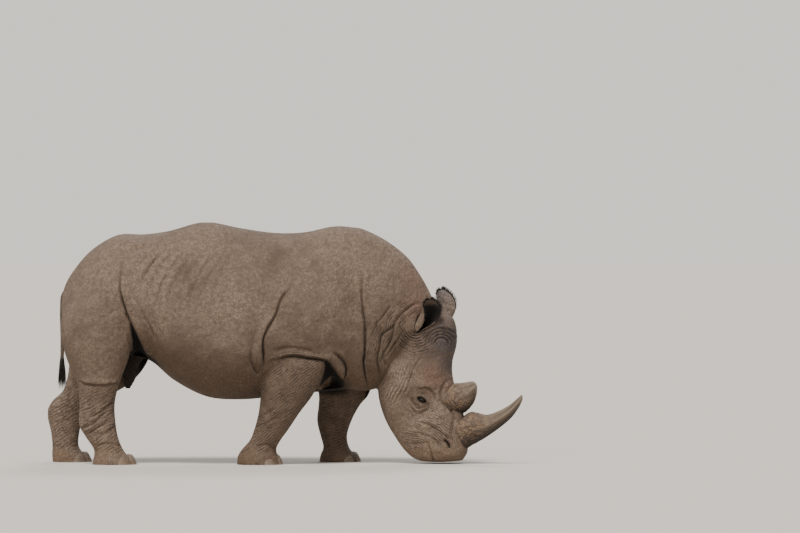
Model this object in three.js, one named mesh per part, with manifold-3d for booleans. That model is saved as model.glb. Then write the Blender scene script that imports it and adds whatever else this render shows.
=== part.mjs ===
// A white rhinoceros, life size, standing with its head down to graze.
// Millimetres, +X towards the horns, +Y to the animal's left, +Z up. The floor is z = 0, and x = 0 is
// half way between the hindmost heel and the tip of the front horn.
//
// The flesh is lofted: a loft runs through ribs, and a rib is one cross-section, given by its two outline
// points in the side view and by its half width. The lofts are joined into one body, which is then parted
// by thin joints along the animal's own folds: round the thighs, over the elbows, at the shoulder crease
// and behind the ears. Horns, ears, eyes, tail and toenails are pieces of their own, set on the body.
import * as THREE from "three";
import { mergeVertices } from "three/addons/utils/BufferGeometryUtils.js";
import Module from "manifold-3d";

const wasm = await Module();
wasm.setup();

// ---- driving sizes -------------------------------------------------------------------------------
const JOINT = 1.2; // gap between neighbouring pieces of flesh
const SEAT = 0.6; // gap between the body and what is set on it
const HEAD_TURN = 0.19; // radians that the neck turns the head to the animal's right
const NECK_START = 480; // the turn begins at the shoulder crease
const NECK_TURN_LENGTH = 520; // and is spread over this length
const EYE_RADIUS = 28;
const EAR_WALL = 12;
const FAR = 4000; // larger than the animal, for cutting blocks

// ---- materials -----------------------------------------------------------------------------------
const HIDE = new THREE.MeshStandardMaterial({ color: 0x8f7f70, roughness: 0.85, metalness: 0 });
const HORN = new THREE.MeshStandardMaterial({ color: 0x8c7860, roughness: 0.7, metalness: 0 });
const NAIL = new THREE.MeshStandardMaterial({ color: 0x5f564c, roughness: 0.6, metalness: 0 });
const EYEBALL = new THREE.MeshStandardMaterial({ color: 0x17110d, roughness: 0.15, metalness: 0 });
const BRISTLE = new THREE.MeshStandardMaterial({ color: 0x241f1b, roughness: 0.8, metalness: 0 });

const rhino = new THREE.Group();

// ---- shapes --------------------------------------------------------------------------------------

// The neck's sideways turn: a point keeps its distance from the midline, and the midline follows an arc
// of NECK_TURN_LENGTH and then a straight line.
function turned(point) {
  const along = point.x - NECK_START;
  if (along <= 0) return point;
  const radius = NECK_TURN_LENGTH / HEAD_TURN;
  const angle = Math.min(along / radius, HEAD_TURN);
  const beyond = Math.max(along - NECK_TURN_LENGTH, 0);
  const midX = NECK_START + radius * Math.sin(angle) + beyond * Math.cos(HEAD_TURN);
  const midY = -radius * (1 - Math.cos(angle)) - beyond * Math.sin(HEAD_TURN);
  return point.set(midX + point.y * Math.sin(angle), midY + point.y * Math.cos(angle), point.z);
}

const centre = (ring) => ring.reduce((sum, p) => sum.add(p), new THREE.Vector3()).divideScalar(ring.length);

// A closed surface from rings of points: quads between neighbouring rings, and a fan over each end.
function skinOf(rings) {
  const sides = rings[0].length;
  const positions = rings.flat().flatMap((p) => [p.x, p.y, p.z]);
  const faces = [];
  for (let r = 0; r + 1 < rings.length; r++)
    for (let i = 0; i < sides; i++) {
      const a = r * sides + i;
      const b = r * sides + ((i + 1) % sides);
      faces.push(a, b, b + sides, a, b + sides, a + sides);
    }
  [0, rings.length - 1].forEach((r, end) => {
    const middle = centre(rings[r]);
    const tip = positions.length / 3;
    positions.push(middle.x, middle.y, middle.z);
    for (let i = 0; i < sides; i++) {
      const a = r * sides + i;
      const b = r * sides + ((i + 1) % sides);
      faces.push(...(end ? [a, b, tip] : [b, a, tip]));
    }
  });
  return outwards(new THREE.BufferGeometry()
    .setAttribute("position", new THREE.Float32BufferAttribute(positions, 3))
    .setIndex(faces));
}

// Turns a closed geometry's faces to point out, by the sign of its volume.
function outwards(geometry) {
  const p = geometry.getAttribute("position");
  const index = geometry.getIndex().array;
  const [a, b, c] = [new THREE.Vector3(), new THREE.Vector3(), new THREE.Vector3()];
  let volume = 0;
  for (let i = 0; i < index.length; i += 3) {
    [a, b, c].forEach((v, k) => v.fromBufferAttribute(p, index[i + k]));
    volume += a.dot(b.clone().cross(c));
  }
  if (volume < 0)
    for (let i = 0; i < index.length; i += 3) [index[i], index[i + 1]] = [index[i + 1], index[i]];
  return geometry;
}

const power = (value, exponent) => Math.sign(value) * Math.abs(value) ** exponent;

// Lofts a piece of flesh through its ribs. A rib is [ax, az, bx, bz, half, y, wide]: outline points a and b
// in the side view, half the width, the middle's y, and where between b (0) and a (1) it is widest.
// Sections are superellipses, squarer at a and b as roundA and roundB rise above 2. A grown loft is that much
// larger all round, its ends included.
function loft(ribs, { from = 0, to = ribs.length - 1, rings = 20, sides = 24, grow = 0,
  roundA = 2.1, roundB = 2.1, turn = false } = {}) {
  const curve = (pick) =>
    new THREE.CatmullRomCurve3(ribs.map((r) => new THREE.Vector3(...pick(r))), false, "catmullrom", 0.5);
  const edgeA = curve((r) => [r[0], 0, r[1]]);
  const edgeB = curve((r) => [r[2], 0, r[3]]);
  const width = curve((r) => [r[4], r[5], r[6] * 1000]);
  const last = ribs.length - 1;
  const made = [];
  for (let n = 0; n <= rings; n++) {
    const t = (from + ((to - from) * n) / rings) / last;
    const [a, b, w] = [edgeA.getPoint(t), edgeB.getPoint(t), width.getPoint(t)];
    const spread = a.clone().sub(b).normalize().multiplyScalar(grow);
    a.add(spread);
    b.sub(spread);
    const middle = b.clone().lerp(a, w.z / 1000);
    const ring = [];
    for (let i = 0; i < sides; i++) {
      const angle = (2 * Math.PI * i) / sides;
      const [up, side] = [Math.cos(angle), Math.sin(angle)];
      const exponent = 2 / (up > 0 ? roundA : roundB);
      const point = middle.clone().addScaledVector(
        up > 0 ? a.clone().sub(middle) : middle.clone().sub(b), power(up, exponent));
      point.y = w.y + (w.x + grow) * power(side, exponent);
      ring.push(turn ? turned(point) : point);
    }
    made.push(ring);
  }
  for (const [end, next] of [[0, 1], [rings, rings - 1]]) {
    const out = centre(made[end]).sub(centre(made[next])).setLength(grow);
    made[end].forEach((point) => point.add(out));
  }
  return skinOf(made);
}

// ---- joining and cutting -------------------------------------------------------------------------
function solid(geometry) {
  const bare = geometry.clone();
  ["normal", "uv"].forEach((name) => bare.deleteAttribute(name));
  const merged = mergeVertices(bare, 1e-3);
  return new wasm.Manifold(new wasm.Mesh({
    numProp: 3,
    vertProperties: new Float32Array(merged.getAttribute("position").array),
    triVerts: new Uint32Array(merged.getIndex().array),
  }));
}

// The largest body of a cut solid, so that no crumb is left at a thin edge.
const largest = (made) => made.decompose().sort((a, b) => b.volume() - a.volume())[0];

function add(name, made, material) {
  const mesh = made.getMesh();
  const geometry = new THREE.BufferGeometry()
    .setAttribute("position", new THREE.BufferAttribute(mesh.vertProperties, 3))
    .setIndex(new THREE.BufferAttribute(mesh.triVerts, 1));
  geometry.computeVertexNormals();
  const node = new THREE.Mesh(geometry, material);
  node.name = name;
  rhino.add(node);
}

// A closed outline in the side view, carried sideways from y = inner to y = outer.
function slab(outline, inner, outer) {
  const shape = new THREE.Shape(outline.map(([x, z]) => new THREE.Vector2(x, z)));
  const block = new THREE.ExtrudeGeometry(shape, { depth: Math.abs(outer - inner), bevelEnabled: false });
  // The outline's plane is turned upright, and its depth then runs towards -Y.
  return solid(block.rotateX(Math.PI / 2).translate(0, Math.max(inner, outer), 0));
}

// A block on the far side of a plane that is seen edge-on from the side: it passes through (x, z), and
// its normal, at an angle above +X, points into the block.
function beyond(x, z, angle, gap = 0) {
  const block = new THREE.BoxGeometry(FAR, FAR, FAR).translate(FAR / 2 + gap, 0, 0);
  return solid(block.rotateY(-angle).translate(x, 0, z));
}

// ---- trunk, neck and head ------------------------------------------------------------------------
const TRUNK = [
  [-1585, 1165, -1580, 1005, 110, 0, 0.5], // tail head
  [-1565, 1265, -1555, 880, 215, 0, 0.5], // rump end
  [-1500, 1380, -1485, 790, 300, 0, 0.5], // rump
  [-1370, 1525, -1350, 765, 365, 0, 0.45], // pelvis
  [-1185, 1630, -1155, 765, 400, 0, 0.43], // hips
  [-995, 1635, -960, 735, 425, 0, 0.42], // loin
  [-815, 1660, -780, 590, 460, 0, 0.42], // flank
  [-565, 1722, -545, 474, 490, 0, 0.4], // belly
  [-315, 1680, -295, 455, 490, 0, 0.4], // girth
  [-65, 1645, -65, 478, 465, 0, 0.42], // ribs
  [150, 1650, 145, 500, 435, 0, 0.45], // brisket
  [345, 1690, 315, 515, 410, 0, 0.47], // withers
  [500, 1683, 450, 530, 370, 0, 0.5], // shoulder
  [580, 1630, 530, 580, 290, 0, 0.5], // inside the neck
];
const NECK = [
  [365, 1600, 330, 620, 260, 0, 0.5], // inside the shoulder
  [500, 1683, 450, 535, 345, 0, 0.5], // hump
  [630, 1645, 565, 515, 330, 0, 0.5], // base
  [770, 1563, 635, 525, 305, 0, 0.5], // middle
  [885, 1466, 685, 555, 272, 0, 0.5], // crest
  [968, 1350, 745, 615, 235, 0, 0.5], // nape
  [1040, 1225, 815, 680, 200, 0, 0.5], // behind the ears
  [1095, 1105, 900, 750, 145, 0, 0.5], // inside the head
];
const HEAD = [
  [1145, 1085, 915, 1050, 90, 0, 0.5], // poll
  [1215, 1035, 805, 920, 148, 0, 0.55], // ear line
  [1240, 930, 730, 785, 178, 0, 0.55], // temple
  [1235, 835, 688, 680, 194, 0, 0.5], // brow
  [1210, 745, 672, 580, 200, 0, 0.48], // cheek
  [1205, 665, 674, 485, 194, 0, 0.46], // orbit
  [1218, 580, 697, 385, 170, 0, 0.44], // eye
  [1245, 500, 737, 285, 146, 0, 0.42], // rear horn
  [1272, 415, 797, 185, 134, 0, 0.42], // face
  [1297, 320, 854, 105, 130, 0, 0.44], // nose
  [1310, 230, 910, 50, 140, 0, 0.48], // nostrils
  [1318, 150, 968, 22, 150, 0, 0.5], // upper lip
  [1315, 80, 1045, 12, 142, 0, 0.5], // lip edge
  [1280, 22, 1130, 12, 95, 0, 0.5], // mouth
];
const NECK_FORM = { rings: 9, sides: 20, turn: true };
const HEAD_FORM = { rings: 18, sides: 20, roundA: 2.2, roundB: 2.3, turn: true };
const TRUNK_FORM = { rings: 18, sides: 20, roundA: 1.95, roundB: 2.2 };

// ---- legs ----------------------------------------------------------------------------------------
// Each leg has its ribs, and the heights and slants of its two cuts: at the knee or hock, and at the fetlock.
const LEGS = {
  front_right: {
    ribs: [
      [220, 1005, 15, 1005, 60, -240, 0.5], // inside the shoulder
      [295, 900, -85, 900, 100, -262, 0.5],
      [302, 795, -135, 785, 128, -272, 0.5], // elbow
      [290, 695, -157, 670, 146, -275, 0.5],
      [260, 595, -157, 565, 145, -272, 0.5], // forearm
      [205, 485, -162, 470, 134, -268, 0.5],
      [115, 365, -177, 355, 120, -262, 0.5],
      [35, 245, -207, 245, 108, -256, 0.5], // knee
      [-20, 170, -238, 170, 102, -252, 0.5], // cannon
      [-50, 105, -287, 115, 108, -250, 0.5], // fetlock
      [-30, 50, -322, 60, 126, -250, 0.5], // foot
      [-15, 0, -327, 0, 130, -250, 0.5], // sole
    ],
    cuts: [[-60, 300, -0.35], [-150, 118, 0]],
  },
  front_left: {
    ribs: [
      [435, 965, 230, 950, 70, 235, 0.5], // inside the shoulder
      [560, 830, 185, 805, 115, 262, 0.5],
      [638, 665, 200, 645, 142, 272, 0.5], // elbow
      [612, 500, 243, 495, 135, 270, 0.5], // forearm
      [540, 405, 243, 400, 122, 266, 0.5],
      [483, 300, 233, 295, 112, 262, 0.5], // knee
      [448, 185, 258, 185, 102, 258, 0.5], // cannon
      [468, 95, 278, 105, 110, 256, 0.5], // fetlock
      [514, 45, 258, 50, 127, 256, 0.5], // foot
      [534, 0, 250, 0, 130, 256, 0.5], // sole
    ],
    cuts: [[360, 330, 0], [370, 108, 0]],
  },
  hind_right: {
    ribs: [
      [-1215, 1330, -1375, 1330, 50, -150, 0.5], // inside the hip
      [-1165, 1255, -1470, 1240, 115, -195, 0.5], // haunch
      [-1128, 1140, -1550, 1110, 166, -242, 0.5], // buttock
      [-1095, 1005, -1584, 980, 186, -258, 0.5], // thigh
      [-1080, 865, -1564, 850, 178, -264, 0.5],
      [-1100, 745, -1529, 730, 156, -266, 0.5], // stifle
      [-1160, 585, -1460, 570, 120, -265, 0.5], // gaskin
      [-1195, 435, -1445, 420, 98, -255, 0.5], // shank
      [-1190, 300, -1450, 285, 94, -250, 0.5], // hock
      [-1170, 185, -1395, 185, 90, -248, 0.5], // cannon
      [-1130, 95, -1345, 110, 100, -248, 0.5], // fetlock
      [-1080, 40, -1345, 50, 120, -248, 0.5], // foot
      [-1055, 0, -1355, 0, 124, -248, 0.5], // sole
    ],
    cuts: [[-1310, 560, 0], [-1240, 118, 0]],
  },
  hind_left: {
    ribs: [
      [-1215, 1330, -1375, 1330, 50, 150, 0.5], // inside the hip
      [-1155, 1255, -1470, 1240, 115, 195, 0.5], // haunch
      [-1100, 1140, -1550, 1110, 166, 242, 0.5], // buttock
      [-1030, 1005, -1575, 980, 186, 258, 0.5], // thigh
      [-975, 850, -1562, 830, 176, 264, 0.5],
      [-985, 715, -1552, 680, 150, 266, 0.5], // stifle
      [-1130, 550, -1590, 520, 118, 268, 0.5], // gaskin
      [-1350, 435, -1672, 435, 98, 260, 0.5], // shank
      [-1437, 330, -1707, 350, 92, 256, 0.5], // hock
      [-1475, 215, -1680, 215, 87, 254, 0.5], // cannon
      [-1480, 110, -1670, 120, 96, 254, 0.5], // fetlock
      [-1430, 45, -1672, 55, 118, 254, 0.5], // foot
      [-1400, 0, -1668, 0, 122, 254, 0.5], // sole
    ],
    cuts: [[-1330, 510, -0.75], [-1560, 118, 0]],
  },
};

// Where the legs part from the trunk: the folds round the thighs and over the elbows, each a curve in the
// side view from the rear edge over the top to the front edge.
const LEG_FOLDS = {
  front_right: [[-190, 590], [-165, 690], [-60, 765], [110, 775], [270, 745], [345, 660], [350, 590]],
  front_left: [[150, 560], [180, 650], [280, 745], [440, 765], [580, 730], [665, 640], [665, 560]],
  hind_right: [[-1640, 1010], [-1500, 1240], [-1330, 1345], [-1190, 1300], [-1145, 1165], [-1090, 1000],
    [-1062, 850], [-1062, 780]],
  hind_left: [[-1640, 1010], [-1500, 1240], [-1330, 1345], [-1180, 1300], [-1110, 1165], [-1030, 1020],
    [-962, 860], [-955, 765]],
};
const LEG_INNER = 80; // distance of a leg's inner parting plane from the middle of the trunk
const FOLD_STEPS = 12;

// The block of trunk that goes with a leg: inside its fold, from the inner parting plane outwards.
function foldBlock(name, gap) {
  const side = name.endsWith("right") ? -1 : 1;
  const fold = new THREE.SplineCurve(LEG_FOLDS[name].map(([x, z]) => new THREE.Vector2(x, z)));
  const edge = fold.getPoints(FOLD_STEPS).map((point, i) => {
    const along = fold.getTangent(i / FOLD_STEPS);
    return [point.x - along.y * gap, point.y + along.x * gap];
  });
  edge[0][1] -= gap;
  edge.at(-1)[1] -= gap;
  return slab(edge, side * (LEG_INNER - gap), side * FAR);
}

const LEG_FORM = { rings: 13, sides: 12, roundA: 2.2, roundB: 2.2 };
let body = solid(loft(TRUNK, TRUNK_FORM))
  .add(solid(loft(NECK, NECK_FORM)))
  .add(solid(loft(HEAD, HEAD_FORM)));
const whole = body;
const limbs = {};
for (const [name, leg] of Object.entries(LEGS)) {
  limbs[name] = solid(loft(leg.ribs, LEG_FORM)).add(whole.intersect(foldBlock(name, 0)));
  body = body.subtract(solid(loft(leg.ribs, { ...LEG_FORM, grow: JOINT }))).subtract(foldBlock(name, JOINT));
}

// ---- toenails ------------------------------------------------------------------------------------
// Three broad nails on each foot, the middle one widest: rounded plates set into the front of the sole.
const NAILS = {
  middle: { bearing: 0, width: 57, height: 76, depth: 30 },
  inner: { bearing: 1.02, width: 44, height: 62, depth: 26 },
  outer: { bearing: -1.02, width: 44, height: 62, depth: 26 },
};
const floor = solid(new THREE.BoxGeometry(FAR, FAR, FAR).translate(0, 0, -FAR / 2));

function nail(ribs, { bearing, width, height, depth }, gap = 0) {
  const [ax, , bx, , half, y] = ribs.at(-1);
  const across = Math.sign(y) * -1; // from the outer side of the foot to the inner
  const reach = (ax - bx) / 2 - depth * 0.45;
  const plate = new THREE.SphereGeometry(1, 8, 5)
    .scale(depth + gap, width + gap, height + gap)
    .rotateY(-0.32)
    .rotateZ(bearing * across)
    .translate((ax + bx) / 2 + reach * Math.cos(bearing),
      y + across * (half - depth * 0.45) * Math.sin(bearing), 0);
  return solid(plate).subtract(floor);
}

for (const [name, { ribs, cuts }] of Object.entries(LEGS)) {
  const pieces = ["upper", "lower", "foot"];
  let rest = limbs[name];
  for (const [x, z, slant] of cuts) {
    const above = Math.PI / 2 + slant;
    add(`leg_${name}_${pieces.shift()}`, largest(rest.intersect(beyond(x, z, above))), HIDE);
    rest = rest.subtract(beyond(x, z, above, -JOINT));
  }
  for (const [toe, size] of Object.entries(NAILS)) {
    add(`nail_${name}_${toe}`, largest(nail(ribs, size)), NAIL);
    rest = rest.subtract(nail(ribs, size, SEAT));
  }
  add(`leg_${name}_foot`, largest(rest), HIDE);
}

// ---- eyes, ears and horns ------------------------------------------------------------------------
const EYE = [1014, 146, 459]; // the left eye's middle, before the neck's turn
const SIDES = { left: 1, right: -1 };
for (const [name, side] of Object.entries(SIDES)) {
  const middle = turned(new THREE.Vector3(EYE[0], side * EYE[1], EYE[2]));
  const ball = (radius) => solid(new THREE.SphereGeometry(radius, 10, 7).translate(...middle));
  add("eye_" + name, ball(EYE_RADIUS), EYEBALL);
  body = body.subtract(ball(EYE_RADIUS + SEAT));
}

// An ear is a leaf rolled into a funnel. Its sections are crescents, an outer arc and an inner arc one wall
// apart, set along a curved axis: nearly a full ring at the base, and opening towards the tip.
const EARS = {
  right: { axis: [[1005, -145, 965], [1115, -195, 1070], [1120, -225, 1165]], open: [0.6, -0.8, 0.1] },
  left: { axis: [[1100, 140, 975], [1135, 185, 1105], [1110, 205, 1245]], open: [0.6, 0.8, 0] },
};
const EAR_SECTIONS = [ // radius and half the arc's angle, from base to tip
  [34, 2.9], [46, 2.7], [58, 2.45], [67, 2.15], [72, 1.9], [72, 1.65], [66, 1.35], [54, 0.9],
];
const EAR_ARC = 7; // straight steps in each arc

function ear({ axis, open }) {
  const line = new THREE.CatmullRomCurve3(axis.map((p) => new THREE.Vector3(...p)));
  const rings = EAR_SECTIONS.map(([radius, halfArc], n) => {
    const t = n / (EAR_SECTIONS.length - 1);
    const front = new THREE.Vector3(...open).projectOnPlane(line.getTangent(t)).normalize();
    const lateral = new THREE.Vector3().crossVectors(line.getTangent(t), front);
    const arc = (r) => Array.from({ length: EAR_ARC + 1 }, (_, i) => {
      const angle = halfArc * ((2 * i) / EAR_ARC - 1);
      return turned(line.getPoint(t).addScaledVector(front, -0.85 * r * Math.cos(angle))
        .addScaledVector(lateral, r * Math.sin(angle)));
    });
    return [...arc(radius), ...arc(radius - EAR_WALL).reverse()];
  });
  return solid(stripEnded(rings));
}

// As skinOf, but for crescent rings, whose ends are closed by a strip between their two arcs.
function stripEnded(rings) {
  const sides = rings[0].length;
  const positions = rings.flat().flatMap((p) => [p.x, p.y, p.z]);
  const faces = [];
  for (let r = 0; r + 1 < rings.length; r++)
    for (let i = 0; i < sides; i++) {
      const a = r * sides + i;
      const b = r * sides + ((i + 1) % sides);
      faces.push(a, b, b + sides, a, b + sides, a + sides);
    }
  const lastRing = (rings.length - 1) * sides;
  for (let i = 0; i + 1 < sides / 2; i++) {
    const [a, b, c, d] = [i, i + 1, sides - 2 - i, sides - 1 - i];
    faces.push(b, a, d, b, d, c);
    faces.push(lastRing + a, lastRing + b, lastRing + c, lastRing + a, lastRing + c, lastRing + d);
  }
  return outwards(new THREE.BufferGeometry()
    .setAttribute("position", new THREE.Float32BufferAttribute(positions, 3))
    .setIndex(faces));
}

const headGrown = solid(loft(HEAD, { ...HEAD_FORM, grow: SEAT }))
  .add(solid(loft(NECK, { ...NECK_FORM, grow: SEAT })));
for (const [name, shape] of Object.entries(EARS))
  add("ear_" + name, largest(ear(shape).subtract(headGrown)), HIDE);

const HORN_FRONT = [
  [1270, 320, 1215, 120, 92, 0, 0.5], // root
  [1337, 366, 1278, 92, 104, 0, 0.5], // base
  [1395, 360, 1350, 132, 88, 0, 0.5],
  [1462, 349, 1443, 184, 68, 0, 0.5], // lower third
  [1545, 377, 1548, 255, 50, 0, 0.5], // middle
  [1622, 420, 1637, 330, 35, 0, 0.5], // upper third
  [1676, 465, 1692, 405, 23, 0, 0.5],
  [1708, 492, 1718, 462, 11, 0, 0.5], // tip
];
const HORN_REAR = [
  [1130, 560, 1225, 345, 112, 0, 0.5], // root
  [1205, 568, 1300, 368, 104, 0, 0.5], // base
  [1288, 577, 1360, 430, 66, 0, 0.5],
  [1345, 587, 1382, 485, 38, 0, 0.5],
  [1375, 577, 1389, 545, 16, 0, 0.5], // tip
];
const HORNS = { front: [HORN_FRONT, 10], rear: [HORN_REAR, 5] }; // each with its number of rings
for (const [name, [ribs, rings]] of Object.entries(HORNS)) {
  const horn = solid(loft(ribs, { rings, sides: 12, turn: true }));
  add("horn_" + name, largest(horn.subtract(headGrown)), HORN);
}

// ---- tail and sheath -----------------------------------------------------------------------------
const TAIL = [
  [-1530, 1290, -1470, 1265, 40, 0, 0.5], // inside the rump
  [-1590, 1205, -1530, 1180, 46, 0, 0.5], // root
  [-1600, 1110, -1548, 1095, 34, 0, 0.5],
  [-1600, 1010, -1562, 1005, 23, 0, 0.5],
  [-1597, 910, -1568, 905, 16, 0, 0.5],
  [-1597, 800, -1570, 800, 14, 0, 0.5],
  [-1597, 735, -1573, 735, 12, 0, 0.5], // end of the dock
];
const TUFT = [
  [-1595, 734.5, -1575, 734.5, 10, 0, 0.5],
  [-1610, 680, -1563, 680, 22, 0, 0.5],
  [-1609, 620, -1566, 620, 20, 0, 0.5],
  [-1600, 550, -1582, 550, 8, 0, 0.5],
  [-1596, 515, -1591, 515, 3, 0, 0.5], // ends of the bristles
];
const SHEATH = [
  [-957, 820, -1171, 820, 56, 0, 0.5], // inside the groin
  [-1036, 700, -1157, 679, 50, 0, 0.5],
  [-1057, 614, -1150, 593, 38, 0, 0.5],
  [-1086, 557, -1136, 543, 24, 0, 0.5],
  [-1100, 532, -1121, 532, 10, 0, 0.5], // tip
];
const tail = (gap) => solid(loft(TAIL, { rings: 9, sides: 8, grow: gap }));
const sheath = (gap) => solid(loft(SHEATH, { rings: 6, sides: 10, grow: gap }));
add("tail", tail(0), HIDE);
add("tail_tuft", solid(loft(TUFT, { rings: 6, sides: 8 })), BRISTLE);
add("sheath", sheath(0), HIDE);
body = body.subtract(tail(SEAT)).subtract(sheath(SEAT));

// ---- parting the body ----------------------------------------------------------------------------
const NAPE_CUT = [845, 900, -0.3]; // behind the ears and the jaw
const SHOULDER_CUT = [562, 1100, 0]; // the shoulder crease
const front = beyond(...NAPE_CUT);
add("head", largest(body.intersect(front)), HIDE);
body = body.subtract(beyond(...NAPE_CUT, -JOINT));
add("neck", largest(body.intersect(beyond(...SHOULDER_CUT))), HIDE);
add("trunk", largest(body.subtract(beyond(...SHOULDER_CUT, -JOINT))), HIDE);

export default rhino;
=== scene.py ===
import math
import bpy
import numpy as np
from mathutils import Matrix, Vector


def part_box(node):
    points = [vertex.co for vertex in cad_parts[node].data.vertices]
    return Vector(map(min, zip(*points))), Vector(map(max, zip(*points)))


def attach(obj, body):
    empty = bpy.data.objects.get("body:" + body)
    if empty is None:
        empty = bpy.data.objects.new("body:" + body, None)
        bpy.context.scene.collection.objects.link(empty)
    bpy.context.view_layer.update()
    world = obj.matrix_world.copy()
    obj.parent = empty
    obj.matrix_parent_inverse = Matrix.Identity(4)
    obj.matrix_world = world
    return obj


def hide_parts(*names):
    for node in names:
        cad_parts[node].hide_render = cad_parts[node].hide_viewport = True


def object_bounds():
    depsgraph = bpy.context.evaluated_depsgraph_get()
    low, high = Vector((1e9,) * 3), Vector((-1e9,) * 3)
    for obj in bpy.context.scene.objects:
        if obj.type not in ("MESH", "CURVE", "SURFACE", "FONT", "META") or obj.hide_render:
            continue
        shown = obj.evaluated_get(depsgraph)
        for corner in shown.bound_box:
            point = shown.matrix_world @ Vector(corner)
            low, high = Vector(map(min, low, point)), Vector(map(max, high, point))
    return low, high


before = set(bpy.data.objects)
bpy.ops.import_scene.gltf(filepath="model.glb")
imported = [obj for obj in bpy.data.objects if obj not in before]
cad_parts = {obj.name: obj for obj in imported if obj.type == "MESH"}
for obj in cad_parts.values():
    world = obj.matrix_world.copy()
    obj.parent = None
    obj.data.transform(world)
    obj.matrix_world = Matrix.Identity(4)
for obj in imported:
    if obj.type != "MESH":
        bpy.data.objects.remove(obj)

cad_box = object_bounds()

# ---- Body form -----------------------------------------------------------------------------------
# The stuffed form under the hide: trunk, neck, head and four legs, each lofted through cross-sections
# and then joined into one closed surface. Metres, +X towards the horns, +Y to the animal's left.
# The form is made with the neck straight, and the neck is turned once the hide is finished.

# A rib is one cross-section: outline points a (x, z) and b (x, z) in the side view, half the width, and
# where they differ from 0 and 0.5, the middle's y and where between b and a the section is widest.
TRUNK = [
    [-1.585, 1.165, -1.580, 1.005, 0.110],  # tail head
    [-1.565, 1.265, -1.555, 0.880, 0.215],  # rump end
    [-1.500, 1.380, -1.485, 0.790, 0.300],  # rump
    [-1.370, 1.525, -1.350, 0.765, 0.365, 0, 0.45],  # pelvis
    [-1.185, 1.630, -1.155, 0.765, 0.400, 0, 0.43],  # hips
    [-0.995, 1.635, -0.960, 0.735, 0.425, 0, 0.42],  # loin
    [-0.815, 1.660, -0.780, 0.590, 0.460, 0, 0.42],  # flank
    [-0.565, 1.722, -0.545, 0.474, 0.490, 0, 0.40],  # belly
    [-0.315, 1.680, -0.295, 0.455, 0.490, 0, 0.40],  # girth
    [-0.065, 1.645, -0.065, 0.478, 0.465, 0, 0.42],  # ribs
    [0.150, 1.650, 0.145, 0.500, 0.435, 0, 0.45],  # brisket
    [0.345, 1.690, 0.315, 0.515, 0.410, 0, 0.47],  # withers
    [0.500, 1.683, 0.450, 0.530, 0.370],  # shoulder
    [0.580, 1.630, 0.530, 0.580, 0.290],  # inside the neck
]
NECK = [
    [0.365, 1.600, 0.330, 0.620, 0.260],  # inside the shoulder
    [0.500, 1.683, 0.450, 0.535, 0.345],  # hump
    [0.630, 1.645, 0.565, 0.515, 0.330],  # base
    [0.770, 1.563, 0.635, 0.525, 0.305],  # middle
    [0.885, 1.466, 0.685, 0.555, 0.272],  # crest
    [0.968, 1.350, 0.745, 0.615, 0.235],  # nape
    [1.040, 1.225, 0.815, 0.680, 0.200],  # behind the ears
    [1.095, 1.105, 0.900, 0.750, 0.145],  # inside the head
]
HEAD = [
    [1.145, 1.085, 0.915, 1.050, 0.090],  # poll
    [1.215, 1.035, 0.805, 0.920, 0.148, 0, 0.55],  # ear line
    [1.240, 0.930, 0.730, 0.785, 0.178, 0, 0.55],  # temple
    [1.235, 0.835, 0.688, 0.680, 0.194],  # brow
    [1.210, 0.745, 0.672, 0.580, 0.200, 0, 0.48],  # cheek
    [1.205, 0.665, 0.674, 0.485, 0.194, 0, 0.46],  # orbit
    [1.218, 0.580, 0.697, 0.385, 0.170, 0, 0.44],  # eye
    [1.245, 0.500, 0.737, 0.285, 0.146, 0, 0.42],  # rear horn
    [1.272, 0.415, 0.797, 0.185, 0.134, 0, 0.42],  # face
    [1.297, 0.320, 0.854, 0.105, 0.130, 0, 0.44],  # nose
    [1.310, 0.230, 0.910, 0.050, 0.140, 0, 0.48],  # nostrils
    [1.318, 0.150, 0.968, 0.022, 0.150],  # upper lip
    [1.315, 0.080, 1.045, 0.012, 0.142],  # lip edge
    [1.280, 0.022, 1.130, 0.012, 0.095],  # mouth
]
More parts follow.
